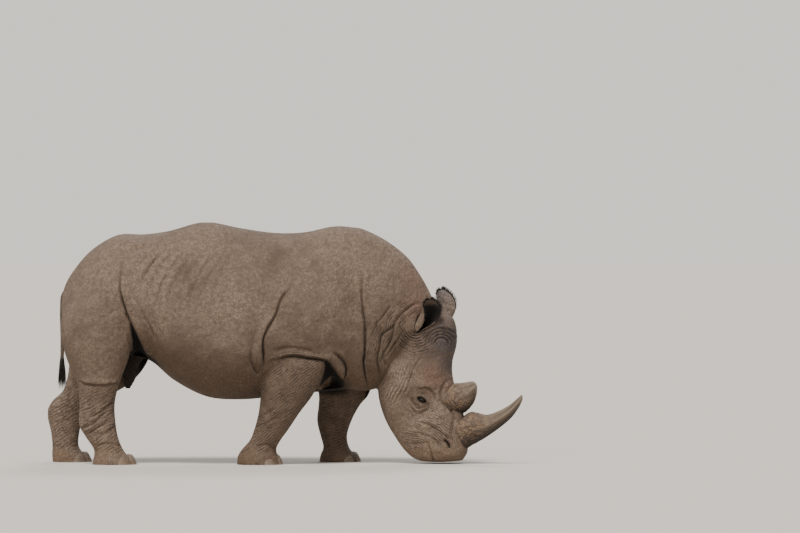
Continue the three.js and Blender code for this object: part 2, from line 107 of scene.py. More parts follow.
LEGS = {
    "front_right": [
        [0.220, 1.005, 0.015, 1.005, 0.060, -0.240],  # inside the shoulder
        [0.295, 0.900, -0.085, 0.900, 0.100, -0.262],
        [0.302, 0.795, -0.135, 0.785, 0.128, -0.272],  # elbow
        [0.290, 0.695, -0.157, 0.670, 0.146, -0.275],
        [0.260, 0.595, -0.157, 0.565, 0.145, -0.272],  # forearm
        [0.205, 0.485, -0.162, 0.470, 0.134, -0.268],
        [0.115, 0.365, -0.177, 0.355, 0.120, -0.262],
        [0.035, 0.245, -0.207, 0.245, 0.108, -0.256],  # knee
        [-0.020, 0.170, -0.238, 0.170, 0.102, -0.252],  # cannon
        [-0.050, 0.105, -0.287, 0.115, 0.108, -0.250],  # fetlock
        [-0.030, 0.050, -0.322, 0.060, 0.126, -0.250],  # foot
        [-0.015, 0.000, -0.327, 0.000, 0.130, -0.250],  # sole
    ],
    "front_left": [
        [0.435, 0.965, 0.230, 0.950, 0.070, 0.235],  # inside the shoulder
        [0.560, 0.830, 0.185, 0.805, 0.115, 0.262],
        [0.638, 0.665, 0.200, 0.645, 0.142, 0.272],  # elbow
        [0.612, 0.500, 0.243, 0.495, 0.135, 0.270],  # forearm
        [0.540, 0.405, 0.243, 0.400, 0.122, 0.266],
        [0.483, 0.300, 0.233, 0.295, 0.112, 0.262],  # knee
        [0.448, 0.185, 0.258, 0.185, 0.102, 0.258],  # cannon
        [0.468, 0.095, 0.278, 0.105, 0.110, 0.256],  # fetlock
        [0.514, 0.045, 0.258, 0.050, 0.127, 0.256],  # foot
        [0.534, 0.000, 0.250, 0.000, 0.130, 0.256],  # sole
    ],
    "hind_right": [
        [-1.215, 1.330, -1.375, 1.330, 0.050, -0.150],  # inside the hip
        [-1.165, 1.255, -1.470, 1.240, 0.115, -0.195],  # haunch
        [-1.128, 1.140, -1.550, 1.110, 0.166, -0.242],  # buttock
        [-1.095, 1.005, -1.584, 0.980, 0.186, -0.258],  # thigh
        [-1.080, 0.865, -1.564, 0.850, 0.178, -0.264],
        [-1.100, 0.745, -1.529, 0.730, 0.156, -0.266],  # stifle
        [-1.160, 0.585, -1.460, 0.570, 0.120, -0.265],  # gaskin
        [-1.195, 0.435, -1.445, 0.420, 0.098, -0.255],  # shank
        [-1.190, 0.300, -1.450, 0.285, 0.094, -0.250],  # hock
        [-1.170, 0.185, -1.395, 0.185, 0.090, -0.248],  # cannon
        [-1.130, 0.095, -1.345, 0.110, 0.100, -0.248],  # fetlock
        [-1.080, 0.040, -1.345, 0.050, 0.120, -0.248],  # foot
        [-1.055, 0.000, -1.355, 0.000, 0.124, -0.248],  # sole
    ],
    "hind_left": [
        [-1.215, 1.330, -1.375, 1.330, 0.050, 0.150],  # inside the hip
        [-1.155, 1.255, -1.470, 1.240, 0.115, 0.195],  # haunch
        [-1.100, 1.140, -1.550, 1.110, 0.166, 0.242],  # buttock
        [-1.030, 1.005, -1.575, 0.980, 0.186, 0.258],  # thigh
        [-0.975, 0.850, -1.562, 0.830, 0.176, 0.264],
        [-0.985, 0.715, -1.552, 0.680, 0.150, 0.266],  # stifle
        [-1.130, 0.550, -1.590, 0.520, 0.118, 0.268],  # gaskin
        [-1.350, 0.435, -1.672, 0.435, 0.098, 0.260],  # shank
        [-1.437, 0.330, -1.707, 0.350, 0.092, 0.256],  # hock
        [-1.475, 0.215, -1.680, 0.215, 0.087, 0.254],  # cannon
        [-1.480, 0.110, -1.670, 0.120, 0.096, 0.254],  # fetlock
        [-1.430, 0.045, -1.672, 0.055, 0.118, 0.254],  # foot
        [-1.400, 0.000, -1.668, 0.000, 0.122, 0.254],  # sole
    ],
}
GRAIN = 0.0062  # side of the form's even quads
SOLE_DEPTH = 0.03  # the legs' tubes run this far into the floor before the soles are pressed flat


def spline(points, t):
    """A smooth curve through the rows of points at the row numbers t. Between two rows every column is a
    cubic whose slope at a row is half the step from the row before it to the row after it."""
    points = np.asarray(points, float)
    padded = np.vstack([2 * points[0] - points[1], points, 2 * points[-1] - points[-2]])
    row = np.clip(np.floor(t).astype(int), 0, len(points) - 2)
    u = (t - row)[:, None]
    before, start, end, after = (padded[row + k] for k in range(4))
    bend = 2 * before - 5 * start + 4 * end - after
    swing = 3 * start - before - 3 * end + after
    return start + ((end - before) * u + bend * u**2 + swing * u**3) / 2


def power(value, exponent):
    """The size of value raised to the exponent, with the value's own sign."""
    return np.sign(value) * np.abs(value) ** exponent


def smooth(value, low, high):
    """0 up to low, 1 from high on, and an S-shaped rise of 3u^2 - 2u^3 between them."""
    u = np.clip((value - low) / (high - low), 0, 1)
    return u * u * (3 - 2 * u)


def band(value, start, full, last, end):
    """0 up to start, 1 from full to last, and 0 again from end on."""
    return smooth(value, start, full) * smooth(value, end, last)


def tube(ribs, along, around, round_a=2.2, round_b=2.2):
    """A grid of points, along x around, on a tube through the ribs. Each section is a superellipse: its
    height from the widest line is |cos|^(2/n) of the way to a or b, and its width |sin|^(2/n) of the half
    width, where n is round_a towards a and round_b towards b."""
    ribs = np.array([list(rib) + [0, 0.5][len(rib) - 5:] for rib in ribs])
    rows = spline(ribs, np.linspace(0, len(ribs) - 1, along))
    a, b, half, y, wide = np.split(rows, (2, 4, 5, 6), axis=1)
    middle = b + (a - b) * wide
    angle = np.linspace(0, 2 * np.pi, around, endpoint=False)
    exponent = 2 / np.where(np.cos(angle) > 0, round_a, round_b)
    rise = power(np.cos(angle), exponent)[None, :, None]
    across = power(np.sin(angle), exponent)[None, :]
    side = middle[:, None] + rise * np.where(rise > 0, (a - middle)[:, None], (middle - b)[:, None])
    return np.stack([side[..., 0], y + half * across, side[..., 1]], -1)


def shell(grid):
    """The closed surface of a tube grid as (points, faces): quads between neighbouring rings, and a fan of
    triangles from the middle of each end ring."""
    along, around = grid.shape[:2]
    points = np.vstack([grid.reshape(-1, 3), grid[0].mean(0), grid[-1].mean(0)])
    number = np.arange(along * around).reshape(along, around)
    after = np.roll(number, -1, 1)
    quads = np.stack([number[:-1], after[:-1], after[1:], number[1:]], -1).reshape(-1, 4)
    first = np.stack([after[0], number[0], np.full(around, along * around)], -1)
    last = np.stack([number[-1], after[-1], np.full(around, along * around + 1)], -1)
    faces = quads.tolist() + first.tolist() + last.tolist()
    inwards = (points[quads[:, 0]] * np.cross(points[quads[:, 1]], points[quads[:, 2]])).sum() < 0
    return points, [face[::-1] for face in faces] if inwards else faces


def joined(shells):
    """Several (points, faces) as one."""
    starts = np.cumsum([0] + [len(points) for points, _ in shells])
    faces = [[int(v) + int(start) for v in face] for start, (_, own) in zip(starts, shells) for face in own]
    return np.vstack([points for points, _ in shells]), faces


def add_piece(name, points, faces):
    """A new mesh object at the origin, smoothly shaded."""
    mesh = bpy.data.meshes.new(name)
    mesh.from_pydata(points.tolist(), [], faces)
    mesh.polygons.foreach_set("use_smooth", np.ones(len(mesh.polygons), bool))
    piece = bpy.data.objects.new(name, mesh)
    bpy.context.scene.collection.objects.link(piece)
    return piece


def taken(piece):
    """What a piece is after its modifiers, as arrays of points, triangles and edges. The piece goes."""
    bpy.context.view_layer.update()
    made = bpy.data.meshes.new_from_object(piece.evaluated_get(bpy.context.evaluated_depsgraph_get()))
    bpy.data.objects.remove(piece)
    made.calc_loop_triangles()
    arrays = []
    for items, values, width, kind in ((made.vertices, "co", 3, np.float32),
                                       (made.loop_triangles, "vertices", 3, np.int32),
                                       (made.edges, "vertices", 2, np.int32)):
        array = np.empty((len(items), width), kind)
        items.foreach_get(values, array.ravel())
        arrays.append(array)
    bpy.data.meshes.remove(made)
    points, triangles, edges = arrays
    return points.astype(float), triangles, edges


def gathered(values, numbers, count):
    """Adds rows of values up into count rows, each into the row of its number."""
    return np.stack([np.bincount(numbers, column, count) for column in values.T], 1)


def relaxed(points, edges, rounds, weight):
    """Moves each point a part, its weight, of the way to the middle of its neighbours, round after round."""
    a, b = edges.T
    count = len(points)
    valence = np.bincount(edges.ravel(), minlength=count)[:, None]
    weight = np.broadcast_to(weight, count)[:, None]
    for _ in range(rounds):
        total = gathered(points[b], a, count) + gathered(points[a], b, count)
        points = points + weight * (total / valence - points)
    return points


def normals_of(points, triangles):
    """Each point's unit normal: the sum of its triangles' cross products, scaled to length 1."""
    p = points[triangles]
    cross = np.cross(p[:, 1] - p[:, 0], p[:, 2] - p[:, 0])
    total = gathered(np.repeat(cross, 3, axis=0), triangles.ravel(), len(points))
    return total / np.maximum(np.linalg.norm(total, axis=1, keepdims=True), 1e-12)


def footed(ribs):
    """A leg's ribs with its sole's rib repeated a little below the floor."""
    sole = list(ribs[-1])
    sole[1] = sole[3] = -SOLE_DEPTH
    return ribs + [sole]


parts = [tube(TRUNK, 140, 96, round_a=1.95), tube(NECK, 70, 80), tube(HEAD, 120, 80, round_b=2.3)]
parts += [tube(footed(ribs), 90, 48) for ribs in LEGS.values()]
form = add_piece("form", *joined([shell(grid) for grid in parts]))
union = form.modifiers.new("one surface", "REMESH")
union.mode = "VOXEL"
union.voxel_size = GRAIN
points, triangles, edges = taken(form)

# Where one tube runs into the next the flesh is softened: over the haunches, at the shoulder, at the nape
# and where the forelegs leave the body. The grain's own steps are smoothed away everywhere.
STEP_ROUNDS = 6
SEAM_ROUNDS = round(0.55 / GRAIN)  # a smaller grain takes more rounds for the same softness
x, _, z = points.T
haunch = band(x, -1.70, -1.50, -1.16, -1.02) * band(z, 0.86, 1.05, 1.40, 1.52)
shoulder = band(x, 0.40, 0.47, 0.64, 0.72) * smooth(z, 0.45, 0.60)
nape = band(x, 0.78, 0.90, 1.16, 1.24) * band(z, 0.74, 0.86, 1.16, 1.28)
arms = band(x, -0.18, -0.10, 0.48, 0.62) * band(z, 0.60, 0.70, 1.02, 1.16)
softness = np.clip(haunch + 0.8 * shoulder + 0.7 * nape + 0.8 * arms, 0, 1)
points = relaxed(points, edges, STEP_ROUNDS, 0.5)
points = relaxed(points, edges, SEAM_ROUNDS, 0.5 * softness)

# ---- Muscle and bone -----------------------------------------------------------------------------
# Low swellings and hollows that the skeleton and muscles give the hide: shoulder blade, hip bone, thigh,
# upper arm, jaw muscle, brow and snout. Each is the same on both sides of the body.
BODY_SWELLINGS = [  # middle (x, z), reach (along x, along z), height
    ((-1.02, 1.47), (0.10, 0.07), 0.016),  # point of the hip
    ((-1.13, 1.56), (0.12, 0.05), 0.008),  # rim of the pelvis
    ((-1.28, 1.14), (0.13, 0.20), 0.020),  # thigh muscle
    ((-1.45, 1.30), (0.10, 0.12), -0.010),  # hollow before the tail
    ((-0.86, 1.46), (0.10, 0.10), -0.014),  # hollow of the flank behind the ribs
    ((-0.98, 1.10), (0.06, 0.16), 0.016),  # fold of the flank
    ((-0.55, 0.90), (0.30, 0.22), 0.014),  # paunch
    ((0.30, 1.36), (0.13, 0.20), 0.016),  # shoulder blade
    ((0.20, 1.02), (0.12, 0.13), 0.022),  # upper arm
    ((0.45, 1.10), (0.07, 0.25), -0.012),  # hollow before the shoulder
    ((-0.06, 1.22), (0.10, 0.16), -0.012),  # hollow behind it
    ((0.66, 0.80), (0.06, 0.22), 0.020),  # hanging skin of the neck
]
HEAD_SWELLINGS = [
    ((0.800, 0.600), (0.080, 0.120), 0.014),  # jaw muscle
    ((0.910, 0.450), (0.050, 0.060), -0.008),  # hollow before it
    ((1.040, 0.565), (0.070, 0.030), 0.012),  # brow over the eye
    ((1.000, 0.400), (0.060, 0.030), 0.008),  # pouch under it
    ((0.960, 0.330), (0.070, 0.060), -0.010),  # hollow of the cheek
    ((1.110, 0.760), (0.050, 0.060), -0.012),  # temple
    ((1.000, 0.965), (0.035, 0.035), 0.016),  # root of the ear
    ((1.190, 0.200), (0.050, 0.040), 0.012),  # wing of the nostril
    ((1.125, 0.105), (0.045, 0.024), 0.012),  # lip at the mouth's corner
    ((1.240, 0.060), (0.050, 0.035), 0.008),  # front of the lip
]


def bell(points, middle, reach):
    """exp(-d^2), d being each point's distance from a middle (x, z) in the side view, counted in reaches."""
    return np.exp(-(((points[:, [0, 2]] - middle) / reach) ** 2).sum(1))


def swollen(points, triangles, swellings):
    """Moves points along their normals by each swelling's height times its bell, and times how far the
    surface there faces sideways."""
    normals = normals_of(points, triangles)
    side = smooth(np.abs(normals[:, 1]), 0.05, 0.55)
    height = sum(tall * bell(points, middle, reach) for middle, reach, tall in swellings)
    return points + normals * (height * side)[:, None]


points = swollen(points, triangles, BODY_SWELLINGS + HEAD_SWELLINGS)

# ---- Folds ---------------------------------------------------------------------------------------
# A white rhinoceros carries its thick skin in set folds: round the thigh, down behind the shoulder, over
# the elbow, at the neck's root and in wrinkles on the head. Each is a groove with a roll beside it.

# A fold is a curve of (x, z) points in the side view, read downwards or towards the head, and then the
# groove's depth, or its depths at the start and the end, less than 0 for a ridge, its half width, and the
# heights of the rolls on its left and on its right.
ROLL_REACH = 3.2  # a roll's reach in half widths of its groove
BODY_FOLDS = {
    "neck root": ([(0.575, 1.45), (0.575, 1.305), (0.57, 1.19), (0.58, 1.085), (0.595, 0.99), (0.595, 0.87),
        (0.59, 0.775), (0.58, 0.725), (0.585, 0.615), (0.61, 0.49)], (0.01, 0.024), 0.01, 0.014, 0.003),
    "roll at the neck root": ([(0.635, 1.08), (0.64, 0.93), (0.638, 0.78), (0.645, 0.64)], (-0.004, -0.016),
        0.038, 0, 0),
    "middle of the neck": ([(0.87, 1.05), (0.815, 0.98), (0.73, 0.92), (0.71, 0.835), (0.685, 0.725),
        (0.7, 0.56)], (0.01, 0.016), 0.011, 0.008, 0.004),
    "upper neck": ([(0.81, 1.145), (0.77, 1.095), (0.73, 1.04), (0.69, 1.005), (0.68, 0.945)], 0.009, 0.01,
        0.004, 0.003),
    "before the hump": ([(0.645, 1.4), (0.64, 1.25)], 0.005, 0.01, 0.002, 0.002),
    "lower neck": ([(0.745, 0.93), (0.735, 0.855), (0.73, 0.785), (0.745, 0.68)], (0.006, 0.009), 0.009,
        0.003, 0.002),
    "hip": ([(-0.94, 1.555), (-1.05, 1.52), (-1.125, 1.48)], 0.006, 0.02, 0.003, 0.004),
}
ARM_FOLDS = {
    "behind the shoulder": ([(0.095, 1.295), (0.025, 1.22), (-0.015, 1.16), (-0.05, 1.06), (-0.105, 0.97),
        (-0.135, 0.9), (-0.14, 0.83), (-0.135, 0.765), (-0.135, 0.64)], (0.006, 0.022), 0.01, 0.002, 0.022),
    "elbow": ([(-0.13, 0.69), (-0.07, 0.74), (-0.006, 0.756), (0.041, 0.769), (0.105, 0.768), (0.17, 0.757),
        (0.234, 0.748), (0.29, 0.738), (0.322, 0.722), (0.352, 0.682), (0.381, 0.648), (0.416, 0.61)],
        (0.012, 0.026), 0.011, 0.014, 0),
    "roll before the forearm": ([(0.29, 0.78), (0.345, 0.752), (0.385, 0.705), (0.408, 0.655), (0.42, 0.6)],
        (-0.004, -0.028), 0.03, 0, 0),
    "before the forearm": ([(0.34, 0.8), (0.385, 0.775), (0.42, 0.742), (0.443, 0.7), (0.445, 0.65),
        (0.425, 0.59)], (0.012, 0.022), 0.011, 0.004, 0),
    "over the elbow": ([(-0.08, 0.8), (0.02, 0.83), (0.13, 0.822), (0.24, 0.798)], (0.006, 0.005), 0.012,
        0.004, 0.003),
    "roll behind the shoulder": ([(-0.115, 1.06), (-0.145, 0.95), (-0.168, 0.86), (-0.178, 0.775),
        (-0.168, 0.69)], (-0.003, -0.026), 0.032, 0, 0),
    "behind that roll": ([(-0.165, 1.02), (-0.195, 0.92), (-0.22, 0.82), (-0.222, 0.73), (-0.19, 0.665),
        (-0.15, 0.64)], (0.004, 0.016), 0.013, 0, 0),
}
THIGH_FOLDS = {
    "thigh": ([(-1.118, 1.5), (-1.134, 1.446), (-1.146, 1.352), (-1.151, 1.262), (-1.144, 1.21),
        (-1.126, 1.145), (-1.098, 1.058), (-1.07, 0.985)], (0.003, 0.026), 0.009, 0.014, 0.004),
    "roll of the flank": ([(-1.065, 1.06), (-1.03, 0.965), (-0.99, 0.87), (-0.94, 0.77)], -0.008, 0.022, 0,
        0),
    "flank": ([(-1.05, 1.19), (-1.015, 1.13), (-0.975, 1.045), (-0.925, 0.955), (-0.905, 0.88)],
        (0.005, 0.011), 0.01, 0.003, 0.006),
    "before the flank": ([(-0.96, 1.15), (-0.915, 1.02), (-0.865, 0.93)], (0.004, 0.005), 0.014, 0.002,
        0.003),
}
HEAD_FOLDS = {
    "behind the ear and jaw": ([(1.035, 1.135), (0.98, 1.14), (0.94, 1.12), (0.895, 1.085), (0.85, 1.04),
        (0.82, 1.005), (0.81, 0.93), (0.78, 0.855), (0.74, 0.79), (0.715, 0.74), (0.695, 0.685)], 0.01,
        0.01, 0.005, 0.005),
    "jaw": ([(0.875, 1.035), (0.86, 0.98), (0.875, 0.94), (0.85, 0.89), (0.815, 0.85), (0.775, 0.795),
        (0.725, 0.745)], 0.008, 0.009, 0.003, 0.005),
    "temple": ([(1.03, 0.77), (0.99, 0.72), (0.955, 0.655), (0.94, 0.6)], 0.006, 0.009, 0.003, 0.003),
    "cheek": ([(0.96, 0.67), (0.93, 0.595), (0.915, 0.545), (0.885, 0.495)], 0.006, 0.008, 0.003, 0.003),
    "over the eye": ([(0.985, 0.525), (1.045, 0.537), (1.085, 0.515), (1.105, 0.475), (1.105, 0.44)], 0.007,
        0.008, 0.005, 0.003),
    "under the eye": ([(0.925, 0.475), (0.955, 0.428), (0.983, 0.395), (1.02, 0.41), (1.068, 0.44)], 0.008,
        0.0075, 0.003, 0.004),
    "next under the eye": ([(0.915, 0.425), (0.95, 0.388), (0.988, 0.357), (1.03, 0.374), (1.076, 0.398)],
        0.007, 0.0075, 0.003, 0.003),
    "snout": ([(0.965, 0.3), (1.04, 0.287), (1.1, 0.257), (1.15, 0.222), (1.195, 0.195), (1.235, 0.17)],
        (0.007, 0.012), 0.01, 0.005, 0.003),
    "over the lip": ([(0.965, 0.235), (1.005, 0.212), (1.06, 0.195), (1.1, 0.175), (1.14, 0.13)],
        (0.006, 0.008), 0.009, 0.004, 0.003),
    "mouth": ([(0.91, 0.13), (0.965, 0.142), (1.025, 0.15), (1.075, 0.145)], 0.006, 0.009, 0.003, 0.003),
    "corner of the mouth": ([(1.045, 0.15), (1.068, 0.115), (1.085, 0.065), (1.1, 0.01)], (0.005, 0.014),
        0.009, 0.01, 0.004),
    "round the horns": ([(1.25, 0.6), (1.185, 0.585), (1.15, 0.52), (1.15, 0.45), (1.18, 0.41),
        (1.215, 0.38), (1.235, 0.33), (1.228, 0.27), (1.222, 0.225), (1.235, 0.17), (1.262, 0.12)], 0.01,
        0.011, 0.008, 0.004),
    "nostril": ([(1.168, 0.176), (1.19, 0.16), (1.207, 0.136), (1.212, 0.108)], (0.018, 0.022), 0.012, 0.01,
        0.004),
}

# Finer folds that repeat: rings of skin under the ear's root, a little taller than wide, nested furrows on
# the forehead, and slanting wrinkles on the cheek.
EAR_ROOT, EAR_FLAT = (0.975, 0.970), 1.05
FOREHEAD = (1.155, 0.855)
CHEEK = [(0.790, 0.660), (0.755, 0.590), (0.720, 0.540), (0.690, 0.480)]
FINE_FOLD = 0.0075  # half width


def arc(middle, radius, first, last, count, flat=1.0):
    """A curve of count points round a middle, from one angle to the other, flat times as tall as wide."""
    turn = np.radians(np.linspace(first, last, count))
    return np.array(middle) + radius * np.stack([np.cos(turn), flat * np.sin(turn)], 1)


for ring in range(2, 8):
    curve = arc(EAR_ROOT, 0.020 * ring - 0.004, 200 - 6 * ring, 335 + 4 * ring, 7, EAR_FLAT)
    HEAD_FOLDS[f"ear ring {ring}"] = (curve, 0.0105 - 0.0006 * ring, FINE_FOLD, 0.003, 0.003)
for step in range(4):
    curve = arc(FOREHEAD, 0.045 + 0.022 * step, 200, -25, 6)
    HEAD_FOLDS[f"forehead furrow {step}"] = (curve, 0.012, FINE_FOLD, 0.003, 0.003)
for step in range(6):
    curve = np.array(CHEEK) + np.array([0.024, -0.012]) * step
    HEAD_FOLDS[f"cheek wrinkle {step}"] = (curve, 0.0035, FINE_FOLD, 0.002, 0.002)

LEG_FOLDS = {  # on the outside of a leg; (x, z) from the middle of its sole
    "front_right": [
        ([(-0.03, 0.13), (0.06, 0.145), (0.12, 0.11)], 0.008, 0.009, 0.004, 0.003),
        ([(-0.10, 0.30), (0.00, 0.33), (0.13, 0.41)], 0.007, 0.010, 0.003, 0.003),
        ([(-0.08, 0.26), (0.02, 0.28), (0.15, 0.35)], 0.006, 0.010, 0.003, 0.003),
    ],
    "front_left": [
        ([(-0.08, 0.13), (0.00, 0.145), (0.08, 0.11)], 0.008, 0.009, 0.004, 0.003),
        ([(-0.12, 0.28), (0.00, 0.29), (0.12, 0.32)], 0.007, 0.010, 0.003, 0.003),
    ],
    "hind_right": [
        ([(-0.14, 0.13), (-0.02, 0.15), (0.10, 0.11)], 0.008, 0.009, 0.004, 0.003),
        ([(-0.25, 0.25), (-0.15, 0.29), (-0.02, 0.40)], 0.010, 0.010, 0.004, 0.004),
        ([(-0.24, 0.21), (-0.14, 0.24), (-0.01, 0.33)], 0.008, 0.010, 0.004, 0.003),
        ([(-0.18, 0.33), (-0.09, 0.37), (0.03, 0.47)], (0.007, 0.009), 0.010, 0.004, 0.003),
        ([(-0.11, 0.20), (-0.03, 0.24), (0.06, 0.32)], 0.008, 0.010, 0.004, 0.003),
        ([(-0.245, 0.600), (-0.195, 0.572), (-0.095, 0.560), (0.005, 0.568), (0.060, 0.582)],
         (0.009, 0.007), 0.010, 0.010, 0.002),
    ],
    "hind_left": [
        ([(-0.12, 0.13), (-0.02, 0.15), (0.08, 0.11)], 0.008, 0.009, 0.004, 0.003),
        ([(-0.16, 0.30), (-0.06, 0.34), (0.06, 0.44)], 0.010, 0.010, 0.004, 0.004),
        ([(-0.15, 0.25), (-0.04, 0.28), (0.08, 0.37)], 0.008, 0.010, 0.004, 0.003),
    ],
}

# The left foreleg stands ahead of the right one and the left thigh reaches further forward, and the folds
# round them go with them: (along x, along z), fading out between two heights.
LEFT_ARM = ((0.33, -0.05), 1.15, 0.85)
LEFT_THIGH = ((0.09, 0.0), 1.20, 0.90)


def shifted(curve, shift, high, low):
    """A curve's points moved by shift, not at all above high and fully below low."""
    curve = np.array(curve, float)
    return curve + smooth(curve[:, 1], high, low)[:, None] * np.array(shift)


def all_folds():
    """Every fold as (curve, depth, width, left roll, right roll, side), side -1 or 1, right or left."""
    made = []
    for side in (-1, 1):
        for group, move in ((BODY_FOLDS, None), (HEAD_FOLDS, None), (ARM_FOLDS, LEFT_ARM),
                            (THIGH_FOLDS, LEFT_THIGH)):
            for curve, *form in group.values():
                moved = shifted(curve, *move) if move and side == 1 else np.array(curve, float)
                made.append((moved, *form, side))
    for leg, group in LEG_FOLDS.items():
        ax, _, bx, *_ = LEGS[leg][-1]
        for curve, *form in group:
            made.append((np.array(curve) + [(ax + bx) / 2, 0], *form, 1 if "left" in leg else -1))
    return made


CURVE_STEPS = 16  # steps between two points of a fold's curve


def beside(places, curve, reach):
    """Which of the places (x, z) lie within reach of a curve, their distance from it, positive on its left,
    and what part of its length they are along it."""
    steps = CURVE_STEPS * (len(curve) - 1)
    line = spline(curve, np.linspace(0, len(curve) - 1, steps + 1))
    ahead = np.gradient(line, axis=0)
    inside = ((places > line.min(0) - reach) & (places < line.max(0) + reach)).all(1)
    near = np.flatnonzero(inside)
    gap = ((places[near, None] - line[None]) ** 2).sum(-1)
    step = gap.argmin(1)
    offset = places[near] - line[step]
    left = np.sign(ahead[step, 0] * offset[:, 1] - ahead[step, 1] * offset[:, 0])
    distance = np.sqrt(gap.min(1)) * left
    kept = np.abs(distance) < reach
    return near[kept], distance[kept], step[kept] / steps


DARK_PART, DARK_DEPTH = 0.65, 0.020  # part of a groove's half width, and its depth, that are dark with grime and painted shade


def folded(points, triangles, folds):
    """How far each point moves along its normal, and how deep in a fold it lies, 0 to 1. A fold's profile
    is a bell-shaped groove, -depth exp(-(d/w)^2), from whose brink a roll on each side slopes away like
    exp(-(d/r)^2), r being ROLL_REACH groove widths; it fades out at both ends and where the surface faces
    up or down."""
    normals = normals_of(points, triangles)
    facing = normals[:, 1]
    height, hollow = np.zeros(len(points)), np.zeros(len(points))
    places = points[:, [0, 2]]
    for curve, depth, width, left, right, side in folds:
        near, distance, along = beside(places, curve, 2 * ROLL_REACH * width)
        fade = band(along, 0, 0.2, 0.85, 1) * smooth(side * facing[near], 0.05, 0.4)
        first, last = np.broadcast_to(depth, 2)
        deep = first + (last - first) * along
        groove = np.exp(-(distance / width) ** 2)
        roll = (1 - groove) * np.exp(-(distance / width / ROLL_REACH) ** 2)
        height[near] += fade * (np.where(distance > 0, left, right) * roll - deep * groove)
        dark = np.exp(-(distance / width / DARK_PART) ** 2) * np.clip(deep / DARK_DEPTH, 0, 1) ** 1.2
        hollow[near] = np.maximum(hollow[near], fade * dark)
    return height, hollow


RIB_GAP, RIB_DEPTH = 0.078, 0.020
RIB_START, RIB_LEVEL = -1.000, 1.30  # the hindmost furrow's x at the level z
RIB_SLANT, RIB_CURVE = 0.45, 1.1  # how a furrow leans forwards with height, and bends


def rib_furrows(points, normals):
    """How deep the hide sinks between the ribs: the sixth power of a cosine across slanting lines spaced
    RIB_GAP apart, so that the furrows are narrow and the ribs broad, strongest at the hindmost ribs."""
    x, _, z = points.T
    rise = z - RIB_LEVEL
    phase = (x - RIB_SLANT * rise - RIB_CURVE * rise**2 - RIB_START) / RIB_GAP
    strength = 0.6 * band(x, -1.04, -0.96, -0.60, -0.15) + 0.4 * smooth(x, -0.55, -0.90)
    strength *= 0.75 + 0.25 * np.cos(2.4 * np.round(phase))  # no two furrows are equally deep
    strength *= smooth(x, -1.06, -0.98) * band(z, 1.06, 1.22, 1.42, 1.54)
    strength *= smooth(np.abs(normals[:, 1]), 0.2, 0.6)
    return RIB_DEPTH * strength * np.abs(np.cos(np.pi * phase)) ** 6


# The deep hollows where the flank's fold leaves the thigh, and under the flap of skin over the elbow:
# rear edge, front edge, depth, and how the left side's one is shifted.
HOLLOWS = [
    ([(-1.126, 1.145), (-1.098, 1.053), (-1.078, 0.971), (-1.069, 0.890), (-1.071, 0.809), (-1.092, 0.727),
      (-1.119, 0.660), (-1.143, 0.560)],
     [(-1.126, 1.145), (-1.085, 1.053), (-1.058, 0.985), (-1.024, 0.903), (-0.991, 0.822), (-0.949, 0.731),
      (-0.930, 0.560)], 0.130, LEFT_THIGH),
    ([(0.290, 0.740), (0.298, 0.698), (0.292, 0.663), (0.277, 0.616), (0.258, 0.569), (0.230, 0.440)],
     [(0.290, 0.740), (0.322, 0.725), (0.352, 0.680), (0.381, 0.645), (0.412, 0.608), (0.425, 0.560),
      (0.420, 0.440)], 0.140, LEFT_ARM),
]


def hollowed(points, rear, front, depth, shift, side):
    """How far points between two curves, given by their x at each height, sink towards the middle plane:
    depth times the root of sin(pi u), u being the place from one curve to the other, and less where the two
    run close together."""
    rear, front = (shifted(curve, *shift) if side == 1 else np.array(curve) for curve in (rear, front))
    x, y, z = points.T
    start = np.interp(z, rear[::-1, 1], rear[::-1, 0])
    end = np.interp(z, front[::-1, 1], front[::-1, 0])
    gap = np.maximum(end - start, 1e-6)
    u = np.clip((x - start) / gap, 0, 1)
    inside = smooth(z, front[-1][1], front[-1][1] + 0.05) * smooth(side * y, 0.10, 0.18)
    inside *= z < front[0][1]
    return inside * depth * smooth(gap, 0, 0.06) * np.sqrt(np.sin(np.pi * u))


def sunken(points):
    """How far each point moves to the left into a hollow, and how deep in one it lies, 0 to 1."""
    move, void = np.zeros((2, len(points)))
    for side in (-1, 1):
        for hollow in HOLLOWS:
            sunk = hollowed(points, *hollow, side)
            move -= side * sunk
            void = np.maximum(void, smooth(sunk, 0.004, 0.05))
    return move, void


# The hollows are sunk and their brinks softened, then the folds and furrows are pressed in and settle.
move, void = sunken(points)
points[:, 1] += move
brink = smooth(relaxed(void[:, None], edges, 8, 0.5)[:, 0], 0.02, 0.3)
points = relaxed(points, edges, 2, 0.4)
points = relaxed(points, edges, 10, 0.5 * brink)
height, _ = folded(points, triangles, all_folds())
normals = normals_of(points, triangles)
points = points + normals * (height * (1 - void) - rib_furrows(points, normals))[:, None]
points = relaxed(points, edges, 1, 0.3)
points = relaxed(points, edges, 3, 0.5 * brink)

# The even mesh is thinned: flat places get larger triangles, and folds and the head keep small ones.
HIDE_TRIANGLES = 165000
KEEP_LEVELS = 20
form = add_piece("form", points, triangles)
fine = form.vertex_groups.new(name="keep")  # in steps of weight: the head most, then folds, brinks and legs
x, _, z = points.T
keep = 0.3 + 0.6 * smooth(x, 0.62, 0.80) + 0.15 * smooth(z, 0.75, 0.55) * smooth(x, 1.0, 0.7)
keep += 0.35 * smooth(np.abs(height) + 0.02 * void, 0.0008, 0.004)
keep = np.round(np.minimum(keep, 0.92) * KEEP_LEVELS) / KEEP_LEVELS
for level in np.unique(keep):
    fine.add(np.flatnonzero(keep == level).tolist(), float(level), "REPLACE")
thin = form.modifiers.new("thinned", "DECIMATE")
thin.ratio = HIDE_TRIANGLES / len(triangles)
thin.use_collapse_triangulate = True
thin.vertex_group = "keep"
thin.invert_vertex_group = True
thin.vertex_group_factor = 0.001
